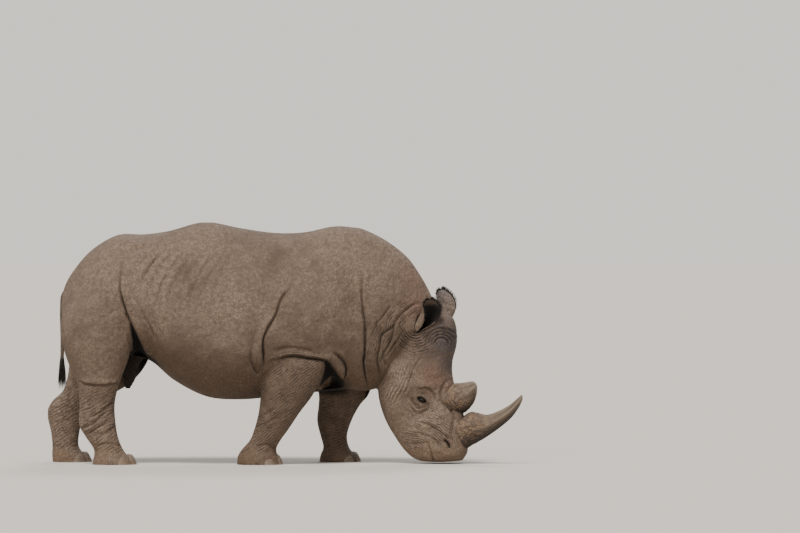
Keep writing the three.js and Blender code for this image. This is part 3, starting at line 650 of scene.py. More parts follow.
points, triangles, edges = taken(form)

# ---- Turn of the neck ----------------------------------------------------------------------------
# The animal grazes with its head a little to its right. The neck's midline follows an arc from the
# shoulder crease and then a straight line through the head.
HEAD_TURN = 0.19  # radians
NECK_START = 0.480
NECK_TURN_LENGTH = 0.520
TURN_RADIUS = NECK_TURN_LENGTH / HEAD_TURN
HEAD_PIVOT = np.array([NECK_START + TURN_RADIUS * np.sin(HEAD_TURN),
                       -TURN_RADIUS * (1 - np.cos(HEAD_TURN)), 0])  # where the arc ends


def turned(points):
    """Carries points round with the neck: each keeps its distance from the midline and its height."""
    x, y, z = np.moveaxis(points, -1, 0)
    along = np.maximum(x - NECK_START, 0)
    angle = np.minimum(along / TURN_RADIUS, HEAD_TURN)
    beyond = np.maximum(along - NECK_TURN_LENGTH, 0)
    mid_x = np.minimum(x, NECK_START) + TURN_RADIUS * np.sin(angle) + beyond * np.cos(HEAD_TURN)
    mid_y = -TURN_RADIUS * (1 - np.cos(angle)) - beyond * np.sin(HEAD_TURN)
    return np.stack([mid_x + y * np.sin(angle), mid_y + y * np.cos(angle), z], -1)


def straightened(points):
    """The reverse of turned for points of the head, which the turn moves as one rigid piece."""
    x, y, z = np.moveaxis(points - HEAD_PIVOT, -1, 0)
    c, s = np.cos(HEAD_TURN), np.sin(HEAD_TURN)
    return np.stack([x * c - y * s + NECK_START + NECK_TURN_LENGTH, x * s + y * c, z], -1)


BOX_MARGIN = 0.0005


def settled(points):
    """The hide in its final pose: turned from the neck on, while the forelegs, which reach ahead under the
    neck, stay where they stand; soles pressed flat on the floor; nothing outside the model's box."""
    x, _, z = points.T
    with_neck = np.maximum(smooth(z, 0.56, 0.76), smooth(x, 0.62, 0.82))[:, None]
    placed = points + with_neck * (turned(points) - points)
    low, high = (np.array(corner) for corner in cad_box)
    return np.clip(placed, low + BOX_MARGIN, high - BOX_MARGIN)


# ---- Ears ----------------------------------------------------------------------------------------
# Each ear is a leaf of gristle and skin rolled into a funnel: nearly a full ring at its root, opening
# towards the tip. The right one is turned forwards and out, the left one stands further ahead.
EARS = {  # three points of the axis from root to tip, and the way the funnel opens
    "right": ([(0.980, -0.145, 0.955), (1.085, -0.195, 1.068), (1.108, -0.225, 1.167)], (0.80, -0.60, 0.1)),
    "left": ([(1.100, 0.140, 0.965), (1.135, 0.185, 1.105), (1.110, 0.205, 1.247)], (0.6, 0.8, 0.0)),
}
EAR_SECTIONS = [  # part of the axis, radius, half the arc's angle, from root to tip
    (0.00, 0.034, 2.90), (0.14, 0.046, 2.70), (0.28, 0.058, 2.45), (0.43, 0.067, 2.15), (0.57, 0.073, 1.90),
    (0.71, 0.074, 1.65), (0.84, 0.068, 1.35), (0.93, 0.056, 1.00), (0.98, 0.044, 0.65), (1.00, 0.034, 0.35),
]
EAR_WALL = 0.010
EAR_ALONG, EAR_AROUND = 44, 72


def unit(vectors):
    """Vectors scaled to length 1."""
    return vectors / np.linalg.norm(vectors, axis=-1, keepdims=True)


def wavy(points, size, seed, waves=9):
    """A smooth random height at each point, about -1 to 1: the mean of plane waves of random directions
    and phases, with lengths near size."""
    draw = np.random.default_rng(seed)
    ways = draw.normal(size=(waves, 3))
    ways *= (draw.uniform(0.7, 1.4, waves) / np.linalg.norm(ways, axis=1))[:, None] * 2 * np.pi / size
    return np.sin(points @ ways.T + draw.uniform(0, 2 * np.pi, waves)).mean(-1) * 1.8


def ear_grid(axis, opening):
    """The ear's grid of points, along its axis by round its wall, and how dark each is: painted shade over
    the ear's darker skin on the inner face, and the dark rim. A section is an arc round the axis, gone along
    its
    outer face and back along its inner face: with v from 0 to 2 pi, the angle is -cos(v) of the half arc one
    way and back, and the wall's half thickness goes with the root of |sin v|, so that the rim is round."""
    stop, radius, half_arc = np.array(EAR_SECTIONS).T
    t = smooth(np.linspace(0, 1, EAR_ALONG), -0.45, 1.0)
    t = (t - t[0]) / (t[-1] - t[0])
    line = spline(axis, 2 * t)[:, None]
    radius, half_arc = (np.interp(t, stop, row)[:, None] for row in (radius, half_arc))
    t = t[:, None]
    ahead = unit(np.gradient(line, axis=0))
    front = unit(np.array(opening) - (ahead @ np.array(opening))[..., None] * ahead)
    across = np.cross(ahead, front)
    v = np.linspace(0, 2 * np.pi, EAR_AROUND, endpoint=False)
    angle = -np.cos(v) * half_arc
    wall = EAR_WALL / 2 * power(np.sin(v), 0.5) * (1 - 0.45 * t)
    curl = 0.010 * np.abs(np.cos(v)) ** 6 * smooth(t, 0.2, 0.6)
    reach = radius - EAR_WALL / 2 + wall + curl
    grid = line - 0.85 * (reach * np.cos(angle))[..., None] * front
    grid = grid + (reach * np.sin(angle))[..., None] * across
    inside = smooth(-np.sin(v), 0.05, 0.5) * smooth(t, 1.1, 0.5)
    to_edge = np.minimum((half_arc - np.abs(angle)) * radius, (1 - t) * 0.25)
    rim = smooth(to_edge, 0.014, 0.007) * smooth(t, 0.30, 0.45)
    ruffle = 0.0016 * wavy(grid, 0.045, 5) + 0.001 * np.sin(angle * 16) * smooth(t, 0.7, 0.1)
    return grid + ruffle[..., None] * across, np.maximum(inside, 0.9 * rim)


def pitted(points, axis):
    """Opens the head under an ear's funnel: points inside its root move back along its axis, to just below
    the root. Gives the moved points and how much painted shade each gets, in the pit or in the seam round
    it."""
    start, ahead = np.array(axis[0]), np.array(axis[1]) - np.array(axis[0])
    length = np.linalg.norm(ahead)
    ahead = unit(ahead)
    along = (points - start) @ ahead
    away = np.linalg.norm(points - start - along[:, None] * ahead, axis=1)
    stop, radius, _ = np.array(EAR_SECTIONS).T
    width = np.interp(along / (2 * length), stop, radius)
    pit = smooth(away, width - 0.003, width - 0.012) * band(along, -0.05, -0.03, 0.11, 0.14)
    seam = smooth(np.abs(away - width), 0.013, 0.003) * smooth(np.abs(along - 0.03), 0.09, 0.06)
    return points - (pit * np.maximum(along + 0.015, 0))[:, None] * ahead, np.maximum(pit, 0.5 * seam)


ear_shapes = {}
ear_pit = np.zeros(len(points))
for name, (axis, opening) in EARS.items():
    grid, inside = ear_grid(axis, opening)
    ear_shapes[name] = (turned(grid), inside)
    points, pit = pitted(points, axis)
    ear_pit = np.maximum(ear_pit, pit)

# ---- Eyelids -------------------------------------------------------------------------------------
# Thick lids round each eye, joined to the hide: a swelling with a slit that slopes down towards the nose,
# rolled edges that lie on the eyeball, and a crease in the upper lid.
EYE_OUT = (0.22, 0.97, 0.10)  # where the left eye looks, on the straight head
SLIT_SLOPE = -0.50  # radians, the slit's front corner lower than its rear one
SLIT_HALF = (0.0265, 0.0085)  # half the slit's length and height
LID_REACH = (0.060, 0.050)  # the same of the lids' outer edge
LID_PART = [0, 0, 0.05, 0.16, 0.30, 0.42, 0.52, 0.70, 0.88, 1, 1, 0.5]  # of the way from slit to outer edge
LID_HEIGHT = [0.0007, 0.0030, 0.0052, 0.0262, 0.0228, 0.0168, 0.0185, 0.0128, 0.0078, 0.0020, -0.006, -0.006]
LID_ON_BALL = 3  # the first of these heights are measured from the eyeball, the others from its middle
LID_HEAVY = [0, 0.5, 1, 1, 1, 0.8, 0.6, 0.3, 0.1, 0, 0, 0]  # how much of the upper lid's extra skin


def eye_place(side):
    """The eyeball's middle and radius, and its axes along the slit, up across it and outwards."""
    low, high = (np.array(corner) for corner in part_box("eye_left" if side == 1 else "eye_right"))
    c, s = np.cos(HEAD_TURN), np.sin(HEAD_TURN)
    turn = np.array([[c, s, 0], [-s, c, 0], [0, 0, 1]])
    out = turn @ unit(np.array(EYE_OUT) * (1, side, 1))
    slit = turn @ np.array([np.cos(SLIT_SLOPE), 0, np.sin(SLIT_SLOPE)])
    slit = unit(slit - out * (slit @ out))
    return (low + high) / 2, (high - low).max() / 2, np.array([slit, np.cross(out, slit) * -side, out])


def lid_grid(side, around=64, across=44):
    """A ring of lid round the slit. Its section is a closed smooth curve through LID_PART and LID_HEIGHT,
    carried round an almond-shaped slit: cos a of the half length along it, sin a of the half height, less
    towards the corners."""
    middle, radius, axes = eye_place(side)
    a = np.linspace(0, 2 * np.pi, around, endpoint=False)[:, None]
    part, heavy = np.array(LID_PART), np.array(LID_HEAVY)
    along = (SLIT_HALF[0] * (1 - part) + LID_REACH[0] * part) * np.cos(a)
    almond = np.sin(a) * (1 - (1 - part) * 0.25 * np.cos(a) ** 2)
    rise = (SLIT_HALF[1] * (1 - part) + LID_REACH[1] * part) * almond
    ball = np.sqrt(np.maximum(radius**2 - along**2 - rise**2, 0))
    height = np.array(LID_HEIGHT) + np.where(np.arange(len(part)) < LID_ON_BALL, ball, 0)
    height += 0.0050 * heavy * np.sin(a)
    rise = rise - 0.0030 * heavy * np.maximum(np.sin(a), 0)
    controls = np.stack([along, rise, height], -1)
    wrapped = np.concatenate([controls[:, -1:], controls, controls[:, :2]], 1)
    steps = np.linspace(1, len(LID_PART) + 1, across, endpoint=False)
    rows = spline(wrapped.transpose(1, 0, 2).reshape(len(LID_PART) + 3, -1), steps)
    rows = rows.reshape(across, around, 3).transpose(1, 0, 2)
    part_here = spline(np.array(LID_PART + LID_PART[:1])[:, None], np.minimum(steps - 1, len(LID_PART) - 1))
    return middle + rows @ axes, np.broadcast_to(part_here[:, 0], (around, across))


def torus(grid):
    """The closed surface of a grid that runs on in both directions, as (points, faces)."""
    rows, columns = grid.shape[:2]
    number = np.arange(rows * columns).reshape(rows, columns)
    across, down = np.roll(number, -1, 1), np.roll(number, -1, 0)
    quads = np.stack([number, across, np.roll(across, -1, 0), down], -1).reshape(-1, 4)
    points = grid.reshape(-1, 3)
    centred = points - points.mean(0)
    volume = (centred[quads[:, 0]] * np.cross(centred[quads[:, 1]], centred[quads[:, 2]])).sum()
    return points, (quads if volume > 0 else quads[:, ::-1]).tolist()


# ---- Tail and sheath -----------------------------------------------------------------------------
# A rope-like tail that hangs from the rump, thick and wrinkled at its root, and the sheath that hangs
# before the hind legs. Both are skin all over and run into the hide.
TAIL = [
    [-1.530, 1.290, -1.470, 1.265, 0.040],  # inside the rump
    [-1.590, 1.205, -1.530, 1.180, 0.046],  # root
    [-1.600, 1.110, -1.548, 1.095, 0.034],
    [-1.600, 1.010, -1.562, 1.005, 0.023],
    [-1.597, 0.910, -1.568, 0.905, 0.016],
    [-1.597, 0.800, -1.570, 0.800, 0.014],
    [-1.597, 0.728, -1.573, 0.728, 0.012],  # end of the dock
]
SHEATH = [
    [-0.957, 0.820, -1.171, 0.820, 0.056],  # inside the groin
    [-1.036, 0.700, -1.157, 0.679, 0.050],
    [-1.057, 0.614, -1.150, 0.593, 0.038],
    [-1.086, 0.557, -1.136, 0.543, 0.024],
    [-1.100, 0.533, -1.121, 0.533, 0.010],  # tip
]


def ringed(grid, spacing, depth):
    """A tube grid with shallow rings: every section shrinks towards its middle by depth times a wave along
    the tube, whose spacing wanders a little."""
    middle = grid.mean(1, keepdims=True)
    along = np.concatenate([[0], np.cumsum(np.linalg.norm(np.diff(middle[:, 0], axis=0), axis=1))])
    wave = np.sin(2 * np.pi * along[:, None] / spacing + 1.6 * wavy(grid, 0.08, 3))
    out = grid - middle
    size = np.maximum(np.linalg.norm(out, axis=-1, keepdims=True), 1e-6)
    return grid + out / size * (depth * wave)[..., None]


tail_grid = ringed(tube(TAIL, 110, 20), 0.016, 0.0012)
sheath_grid = ringed(tube(SHEATH, 50, 30), 0.022, 0.0015)

# ---- Hide ----------------------------------------------------------------------------------------
# The hide itself: thick, hairless, grey-brown skin with a fine net of cracks, wrinkles across the joints,
# pale dust on its high places, dried mud low down, and dark grime in its folds. Painted shade darkens its
# folds, hollows, wrinkle furrows, underside and the places between the legs, and painted light brightens
# the cheek and jaw.


def leg_part(points, leg):
    """How much each point belongs to a leg, 0 to 1, by its distance from the leg's middle line at its
    height, measured against the leg's size there."""
    ribs = np.array(LEGS[leg])[::-1]
    x, y, z = points.T
    ax, bx, half, mid = (np.interp(z, ribs[:, 1], ribs[:, k]) for k in (0, 2, 4, 5))
    off = ((x - (ax + bx) / 2) / ((ax - bx) / 2)) ** 2 + ((y - mid) / half) ** 2
    return smooth(off, 1.9, 1.3)


def eye_distance(points):
    """Each point's distance from the nearer eye on the straight head, with heights counted 1.25 times."""
    middles = [straightened(eye_place(side)[0]) for side in (-1, 1)]
    return np.min([np.linalg.norm((points - middle) * (1, 1, 1.25), axis=1) for middle in middles], 0)


PHASE_JUMP = 1.7  # turns between two neighbours, beyond which a wave is torn


def spread(phase, strength, edges):
    """Keeps waves from being torn where two fields of wrinkles meet: both ends of an edge on which the phase
    jumps lose their strength, and points without strength take the phase of their strongest neighbour."""
    pairs = np.concatenate([edges, edges[:, ::-1]])
    for _ in range(4):
        torn = np.abs(phase[edges[:, 0]] - phase[edges[:, 1]]) > PHASE_JUMP
        strength[edges[torn].ravel()] = 0
        giving = pairs[(strength[pairs[:, 0]] > 0) & (strength[pairs[:, 1]] == 0)]
        giving = giving[np.argsort(strength[giving[:, 0]], kind="stable")]
        phase[giving[:, 1]] = phase[giving[:, 0]]
    return phase, strength


def ripples(points, normals):
    """The wrinkles' phase, in turns from one wrinkle to the next, and their strength, 0 to 1. Each region
    has a phase of its own, a distance over its wrinkles' spacing. The strongest region wins, and its
    strength falls to 0 where the next one takes over."""
    x, y, z = points.T
    side = smooth(np.abs(normals[:, 1]), 0.02, 0.3)
    fields = []
    for leg, tilt, spacing, top in (("front_right", 0.62, 0.017, None), ("front_left", 0.35, 0.018, None),
                                    ("hind_right", 0.50, 0.022, 0.66), ("hind_left", 0.55, 0.022, 0.70)):
        phase = (z * np.cos(tilt) - x * np.sin(tilt)) / spacing
        strength = leg_part(points, leg) * smooth(z, 0.05, 0.12)
        if top:
            strength *= smooth(z, top, top - 0.2)
        else:
            elbow = np.array(ARM_FOLDS["elbow"][0])
            if leg == "front_left":
                elbow = shifted(elbow, *LEFT_ARM)
            strength *= smooth(np.interp(x, *elbow.T) - z, -0.006, 0.02)
        fields.append((phase, 0.8 * strength))
    eye_x, _, eye_z = straightened(eye_place(-1)[0])
    low = (eye_z - z) + np.where(x < eye_x, 1.1, 0.6) * np.abs(x - eye_x)
    below_eye = band(low, 0.045, 0.06, 0.14, 0.19) * smooth(np.abs(x - eye_x), 0.10, 0.07)
    fields.append((low / 0.016, 0.9 * below_eye * side))

    def along_fold(curve, spacing, reach, strength, below=1.0):
        """Wrinkles within reach of a curve and along it, below times as strong on its right."""
        phase, amount = np.zeros((2, len(points)))
        near, distance, part = beside(points[:, [0, 2]], np.array(curve, float), reach)
        phase[near] = distance / spacing
        amount[near] = smooth(np.abs(distance), reach, 0.6 * reach) * band(part, 0, 0.3, 0.7, 1)
        amount[near] *= strength * side[near] * np.where(distance < 0, below, 1)
        fields.append((phase, amount))

    def around(middle, flat, spacing, inner, outer, start, end, strength):
        """Rings of wrinkles between two radii and, in degrees, from start to end."""
        gap = (points[:, [0, 2]] - middle) / (1, flat)
        away, turn = np.hypot(*gap.T), np.degrees(np.arctan2(gap[:, 1], gap[:, 0])) % 360
        part = ((turn - start) % 360) / (end - start)
        amount = band(away, inner, 1.3 * inner, 0.8 * outer, outer) * band(part, 0, 0.12, 0.88, 1)
        fields.append((away / spacing, amount * strength * side))

    around(EAR_ROOT, EAR_FLAT, 0.0185, 0.045, 0.21, 170, 350, 1.0)
    around(FOREHEAD, 1.0, 0.020, 0.035, 0.150, -40, 215, 0.85)
    along_fold(BODY_FOLDS["roll at the neck root"][0], 0.018, 0.07, 0.5)
    along_fold(BODY_FOLDS["middle of the neck"][0], 0.019, 0.13, 0.75)
    along_fold(HEAD_FOLDS["behind the ear and jaw"][0], 0.017, 0.085, 0.95)
    along_fold([(0.935, 0.790), (0.880, 0.660), (0.815, 0.500)], 0.022, 0.12, 0.55)  # cheek
    along_fold(ARM_FOLDS["elbow"][0], 0.016, 0.07, 0.6, below=0.0)
    along_fold(THIGH_FOLDS["flank"][0], 0.022, 0.10, 0.3)
    along_fold([(0.800, 0.190), (0.930, 0.180), (1.030, 0.160), (1.100, 0.060)], 0.015, 0.095, 0.8)  # mouth
    along_fold([(0.860, 0.350), (1.030, 0.300), (1.150, 0.230), (1.280, 0.100)], 0.016, 0.110, 0.9)  # nose
    eye = eye_distance(points)
    fields.append((eye / 0.014, 0.3 * smooth(eye, 0.125, 0.085)))
    phases, strengths = (np.array(rows) for rows in zip(*fields))
    order = np.argsort(strengths, 0)
    best, second = order[-1], order[-2]
    columns = np.arange(len(points))
    lead = strengths[best, columns] - strengths[second, columns]
    return phases[best, columns], strengths[best, columns] * smooth(lead, 0.05, 0.25)


TINTS = {  # colour: middle (x, z), reach, strength; the same on both sides
    "pink": [((0.965, 1.130), 0.10, 0.9), ((0.960, 1.330), 0.10, 0.8), ((1.110, 0.640), 0.12, 1),
             ((1.190, 0.560), 0.07, 0.8)],
    "blue": [((1.225, 0.720), 0.09, 1.0), ((1.190, 0.880), 0.15, 1.0), ((1.080, 0.930), 0.08, 0.6),
             ((1.150, 0.990), 0.09, 0.8)],
    "mud": [((0.850, 0.270), 0.09, 1.0), ((0.960, 0.180), 0.11, 1.0), ((1.220, 0.060), 0.10, 0.8)],
    # A darker brown on the throat under the jaw.
    "soil": [((0.700, 0.900), 0.13, 0.28), ((0.700, 0.680), 0.10, 0.45)],
    # Paler skin on the cheek, the jaw and the face below the eye, also painted light where the neck shades
    # the cheek and jaw.
    "pale": [((0.790, 0.480), 0.11, 0.9), ((0.860, 0.600), 0.12, 0.6), ((0.760, 0.690), 0.08, 0.9),
             ((1.000, 0.330), 0.10, 0.5), ((1.100, 0.380), 0.10, 0.5)],
}


def tint(points, spots):
    """The largest bell over a tint's spots."""
    return np.max([strength * bell(points, middle, reach) for middle, reach, strength in spots], 0)


normals = normals_of(points, triangles)
# The hollow value is painted shade, with grime in the folds: in the folds' grooves, and in the deep hollows
# by the thigh and under the elbow's flap.
_, hollow = folded(points, triangles, all_folds())
phase, strength = spread(*ripples(points, normals), edges)
values = {"hollow": np.maximum(hollow, sunken(points)[1]), "ripple": phase, "rippled": strength,
          **{name: tint(points, spots) for name, spots in TINTS.items()}, "ash": np.zeros(len(points))}
x, y, z = points.T
# Painted shade between the legs, at the groin and under the chest.
groin = band(z, 0.50, 0.60, 0.80, 0.90) * band(x, -1.20, -1.12, -0.93, -0.84)
chest = band(z, 0.44, 0.52, 0.60, 0.66) * band(x, 0.20, 0.27, 0.40, 0.52) * smooth(normals[:, 0], 0.45, 0.10)
between_legs = np.maximum(smooth(np.abs(y), 0.25, 0.18), smooth(-normals[:, 1] * np.sign(y), 0.0, 0.4))
shade = between_legs * np.maximum(0.95 * groin, 0.8 * chest)
# Painted shadow in the furrows between the ribs.
furrows = 0.20 * rib_furrows(points, normals) / RIB_DEPTH
values["hollow"] = np.maximum.reduce([values["hollow"], shade, ear_pit, furrows])
# Painted shade under the belly, where the surface faces down, and a darker brown on the forelegs below the
# chest.
under = smooth(normals[:, 2], -0.05, -0.75) * band(z, 0.30, 0.45, 0.85, 1.05)
forelegs = np.maximum(leg_part(points, "front_right"), leg_part(points, "front_left"))
forelegs *= smooth(z, 0.75, 0.60)
values["soil"] = np.maximum.reduce([values["soil"], under, 0.45 * forelegs])
values["mud"] = np.maximum(values["mud"], 0.8 * smooth(z, 0.30, 0.02))
shells = [(settled(points), triangles.tolist())]


def add_shell(surface, **finish):
    """Joins a closed surface to the hide, with its values of the hide's finish: one for all its points or
    one for each point of its grid, and 0 elsewhere."""
    for name in values:
        value = np.ravel(finish.get(name, 0.0))
        own = np.zeros(len(surface[0]))
        own[:value.size if value.size > 1 else None] = value
        values[name] = np.append(values[name], own)
    shells.append(surface)


def add_values(piece, **numbers):
    """Stores a number for each of a piece's points, under each name."""
    for name, value in numbers.items():
        layer = piece.data.attributes.new(name, "FLOAT", "POINT")
        layer.data.foreach_set("value", np.asarray(value, np.float32))


for name, (grid, inside) in ear_shapes.items():
    along = np.broadcast_to(np.linspace(0, 1, EAR_ALONG)[:, None], inside.shape)
    # Painted shade inside each funnel over its darker skin, the dark rim, and painted light near the root.
    add_shell(shell(grid), hollow=inside, ripple=along * 9, rippled=0.5 * (1 - along),
              blue=0.4 * smooth(along, 0.45, 0.8), pale=0.35 * smooth(along, 0.7, 0.4),
              ash=along if name == "left" else 0.0)
for side in (-1, 1):
    grid, part = lid_grid(side)
    # Painted shade on the lids round the slit.
    add_shell(torus(grid), hollow=smooth(part, 0.66, 0.08) * 0.9, ripple=part * 4.3, rippled=0.15)
# The tail and the sheath are painted dark with shade.
add_shell(shell(tail_grid), hollow=0.35)
add_shell(shell(sheath_grid), hollow=0.72)

hide = add_piece("hide", *joined(shells))
add_values(hide, **values)


class Value:
    """A value that varies over a surface, one output of a material's nodes. Sums on it add Math nodes."""

    def __init__(self, finish, socket):
        self.finish, self.socket = finish, socket

    def maths(self, operation, *terms):
        return self.finish.node("ShaderNodeMath", {"operation": operation}, dict(enumerate(terms)))

    def __add__(self, other):
        return self.maths("ADD", self, other)

    def __sub__(self, other):
        return self.maths("SUBTRACT", self, other)

    def __rsub__(self, other):
        return self.maths("SUBTRACT", other, self)

    def __mul__(self, other):
        return self.maths("MULTIPLY", self, other)

    def __pow__(self, other):
        return self.maths("POWER", self, other)

    def __rpow__(self, other):
        return self.maths("POWER", other, self)

    def cosine(self):
        return self.maths("COSINE", self)

    def between(self, low, high, start=0.0, end=1.0):
        """start below low, end above high, and an S-shaped change between them."""
        return self.finish.node("ShaderNodeMapRange", {"interpolation_type": "SMOOTHSTEP"},
                                {0: self, 1: low, 2: high, 3: start, 4: end})

    __radd__, __rmul__ = __add__, __mul__


class Finish:
    """A surface's material: its nodes, and the shader that they feed."""

    def __init__(self, name, **constants):
        self.material = bpy.data.materials.new(name)
        self.material.use_nodes = True
        self.tree = self.material.node_tree
        self.shader = self.tree.nodes["Principled BSDF"]
        for socket, value in constants.items():
            self.shader.inputs[socket.replace("_", " ")].default_value = value
        self.place = self.node("ShaderNodeTexCoord", output="Object")

    def node(self, kind, settings=(), inputs=(), output=0):
        """Adds a node of a kind, sets its settings, fills its sockets with values or links, and gives one
        of its outputs. The setting stops fills a colour ramp."""
        node = self.tree.nodes.new(kind)
        for name, value in dict(settings).items():
            if name == "stops":
                ramp = node.color_ramp.elements
                while len(ramp) < len(value):
                    ramp.new(1)
                for element, (position, colour) in zip(ramp, value):
                    element.position, element.color = position, (*colour, 1)
            else:
                setattr(node, name, value)
        for socket, value in dict(inputs).items():
            self.feed(node.inputs[socket], value)
        return Value(self, node.outputs[output])

    def feed(self, socket, value):
        if isinstance(value, Value):
            self.tree.links.new(value.socket, socket)
        elif isinstance(value, tuple) and socket.type == "RGBA":
            socket.default_value = (*value, 1)
        else:
            socket.default_value = value

    def attribute(self, name):
        return self.node("ShaderNodeAttribute", {"attribute_name": name}, output="Fac")

    def noise(self, scale, detail, at=None, output=0):
        """Clouds, scale of them to a metre, with finer ones in them by detail. Output 1 is a colour."""
        sockets = {"Vector": at or self.place, "Scale": scale, "Detail": detail, "Roughness": 0.55}
        return self.node("ShaderNodeTexNoise", {}, sockets, output)

    def cells(self, scale, at, feature="DISTANCE_TO_EDGE"):
        return self.node("ShaderNodeTexVoronoi", {"feature": feature}, {"Vector": at, "Scale": scale})

    def coats(self, colour, *layers):
        """A colour with others laid over it in turn, each a pair: how far it covers, 0 to 1, and itself."""
        for cover, over in layers:
            colour = self.node("ShaderNodeMix", {"data_type": "RGBA"}, {0: cover, 6: colour, 7: over}, 2)
        return colour

    def moved(self, at, by, amount):
        """Places shifted by amount times a colour's channels less a half."""
        centred = self.node("ShaderNodeVectorMath", {"operation": "SUBTRACT"}, {0: by, 1: (0.5, 0.5, 0.5)})
        return self.node("ShaderNodeVectorMath", {"operation": "MULTIPLY_ADD"},
                         {0: centred, 1: (amount,) * 3, 2: at})

    def finish(self, colour, roughness, height):
        """Feeds the shader: colour, roughness, and a Bump from a height in metres."""
        sockets = {"Strength": 1.0, "Distance": 1.0, "Height": height}
        bump = self.node("ShaderNodeBump", {}, sockets, "Normal")
        for socket, value in (("Base Color", colour), ("Roughness", roughness), ("Normal", bump)):
            self.feed(self.shader.inputs[socket], value)
        return self.material


PALE_HIDE, DARK_HIDE = (0.248, 0.180, 0.132), (0.118, 0.081, 0.057)
# The second colour on the next line is real grime in cracks, specks and folds, and painted shade in folds,
# hollows, wrinkle and rib furrows, between the legs, in the ears, round the eyes and on the tail and sheath.
DUST, GRIME_AND_SHADE = (0.40, 0.325, 0.26), (0.006, 0.0045, 0.0035)
PINK_SKIN, BLUE_SKIN = (0.250, 0.140, 0.103), (0.060, 0.054, 0.062)
# The first colour on the next line is paler, dustier skin and painted light, on the cheek and jaw and near
# the ears' roots.
PALE_SKIN_AND_PAINTED_LIGHT, ASH_SKIN = (0.400, 0.310, 0.235), (0.250, 0.225, 0.225)
# The second colour on the next line is a dark warm brown of dirt and painted shade, under the belly, on the
# forelegs and on the throat.
MUD, SOIL_AND_SHADE = (0.185, 0.110, 0.060), (0.080, 0.048, 0.026)


def hide_finish():
    """Colour: two browns by broad and middling clouds, dust specks, tints where the skin is pinker, bluer
    or muddy, paler skin with painted light on the cheek and jaw, a dark brown of dirt and painted shade on
    the belly's underside, the forelegs and the throat, grime in cracks, and grime with painted shade in
    folds, hollows and wrinkle furrows. Height: a net of cracks round cells of skin, finer cells inside
    them, the wrinkles' waves broken by noise, and a fine grain."""
    skin = Finish("hide skin", Specular_IOR_Level=0.35)
    hollow, ripple, rippled, pink, pale, ash, blue, mud, soil = (skin.attribute(name) for name in (
        "hollow", "ripple", "rippled", "pink", "pale", "ash", "blue", "mud", "soil"))
    broad, middling = skin.noise(1.7, 3), skin.noise(9, 5)
    patch, fine = skin.noise(34, 4), skin.noise(210, 3)
    bent = skin.moved(skin.place, skin.noise(24, 2, output=1), 0.018)
    cracks = skin.cells(62, bent).between(0.0, 0.16)
    pebbles = skin.cells(150, bent).between(0.0, 0.32)
    bumps = skin.cells(34, bent, "SMOOTH_F1")
    turns = ripple + (middling - 0.5) * 2.8 + (patch - 0.5) * 1.2
    wave = (turns * (2 * math.pi)).cosine() * 0.5 + 0.5
    broken = skin.noise(14, 2).between(0.34, 0.56) * patch.between(0.34, 0.54, 0.6, 1.0)
    furrow = (wave ** 3) * rippled * broken
    dusted = patch.between(0.55, 0.72) * skin.noise(5.5, 2).between(0.50, 0.68)
    specks = skin.noise(62, 2).between(0.69, 0.73) * skin.noise(3.4, 2).between(0.55, 0.66)
    colour = skin.coats(
        DARK_HIDE,
        (broad.between(0.34, 0.62), PALE_HIDE),
        (middling.between(0.42, 0.64) * 0.70, PALE_HIDE),
        (patch.between(0.42, 0.66) * 0.50, DARK_HIDE),
        (pink * broad.between(0.2, 0.6) * 0.75, PINK_SKIN),
        # paler skin and painted light
        (pale * middling.between(0.20, 0.50, 0.5, 1.0), PALE_SKIN_AND_PAINTED_LIGHT),
        (ash * middling.between(0.3, 0.6, 0.6, 1.0), ASH_SKIN),
        (blue * middling.between(0.3, 0.6, 0.75, 1.0), BLUE_SKIN),
        (mud * middling.between(0.35, 0.6) * 0.75, MUD),
        # dirt and painted shade
        (soil * middling.between(0.25, 0.55, 0.55, 0.95), SOIL_AND_SHADE),
        (dusted * 0.40, DUST),
        (specks * 0.75, GRIME_AND_SHADE),
        ((1 - cracks) * patch.between(0.3, 0.6, 0.10, 0.32), GRIME_AND_SHADE),
        ((1 - pebbles) * 0.09, GRIME_AND_SHADE),
        (skin.noise(80, 3).between(0.44, 0.58) * 0.60, DARK_HIDE),
        # wrinkle furrows: grime and painted shade
        (furrow * 0.55, GRIME_AND_SHADE),
        # painted shade, with grime in the folds
        (hollow.between(0.05, 0.9), GRIME_AND_SHADE))
    height = cracks * 0.0013 + pebbles * 0.0006 + fine * 0.0009 + patch * 0.0055 + bumps * 0.0060
    height = height + middling * 0.020 - furrow * 0.0065
    return skin.finish(colour, (0.76 + fine * 0.12) + hollow * 0.12, height)


hide.data.materials.append(hide_finish())
hide.shadow_terminator_geometry_offset = 0.15
flesh = ["trunk", "neck", "head", "ear_right", "ear_left", "tail", "sheath"]
flesh += [f"leg_{leg}_{piece}" for leg in LEGS for piece in ("upper", "lower", "foot")]
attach(hide, "root")
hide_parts(*flesh)

# ---- Eyes ----------------------------------------------------------------------------------------
# Small dark glass eyes, set deep between the lids: a ball with a clear bulge over a brown iris and a
# pupil that lies level.
LID_CLEARANCE = 0.0006  # the ball is this much smaller than the one the lids lie on
CORNEA_BULGE = 0.0018
IRIS_RADIUS = 0.0145
PUPIL_HALF = (0.0075, 0.0045)
BEHIND = (1.0, 9.0)  # the distances from the eye's axis and from the pupil's middle on the ball's back


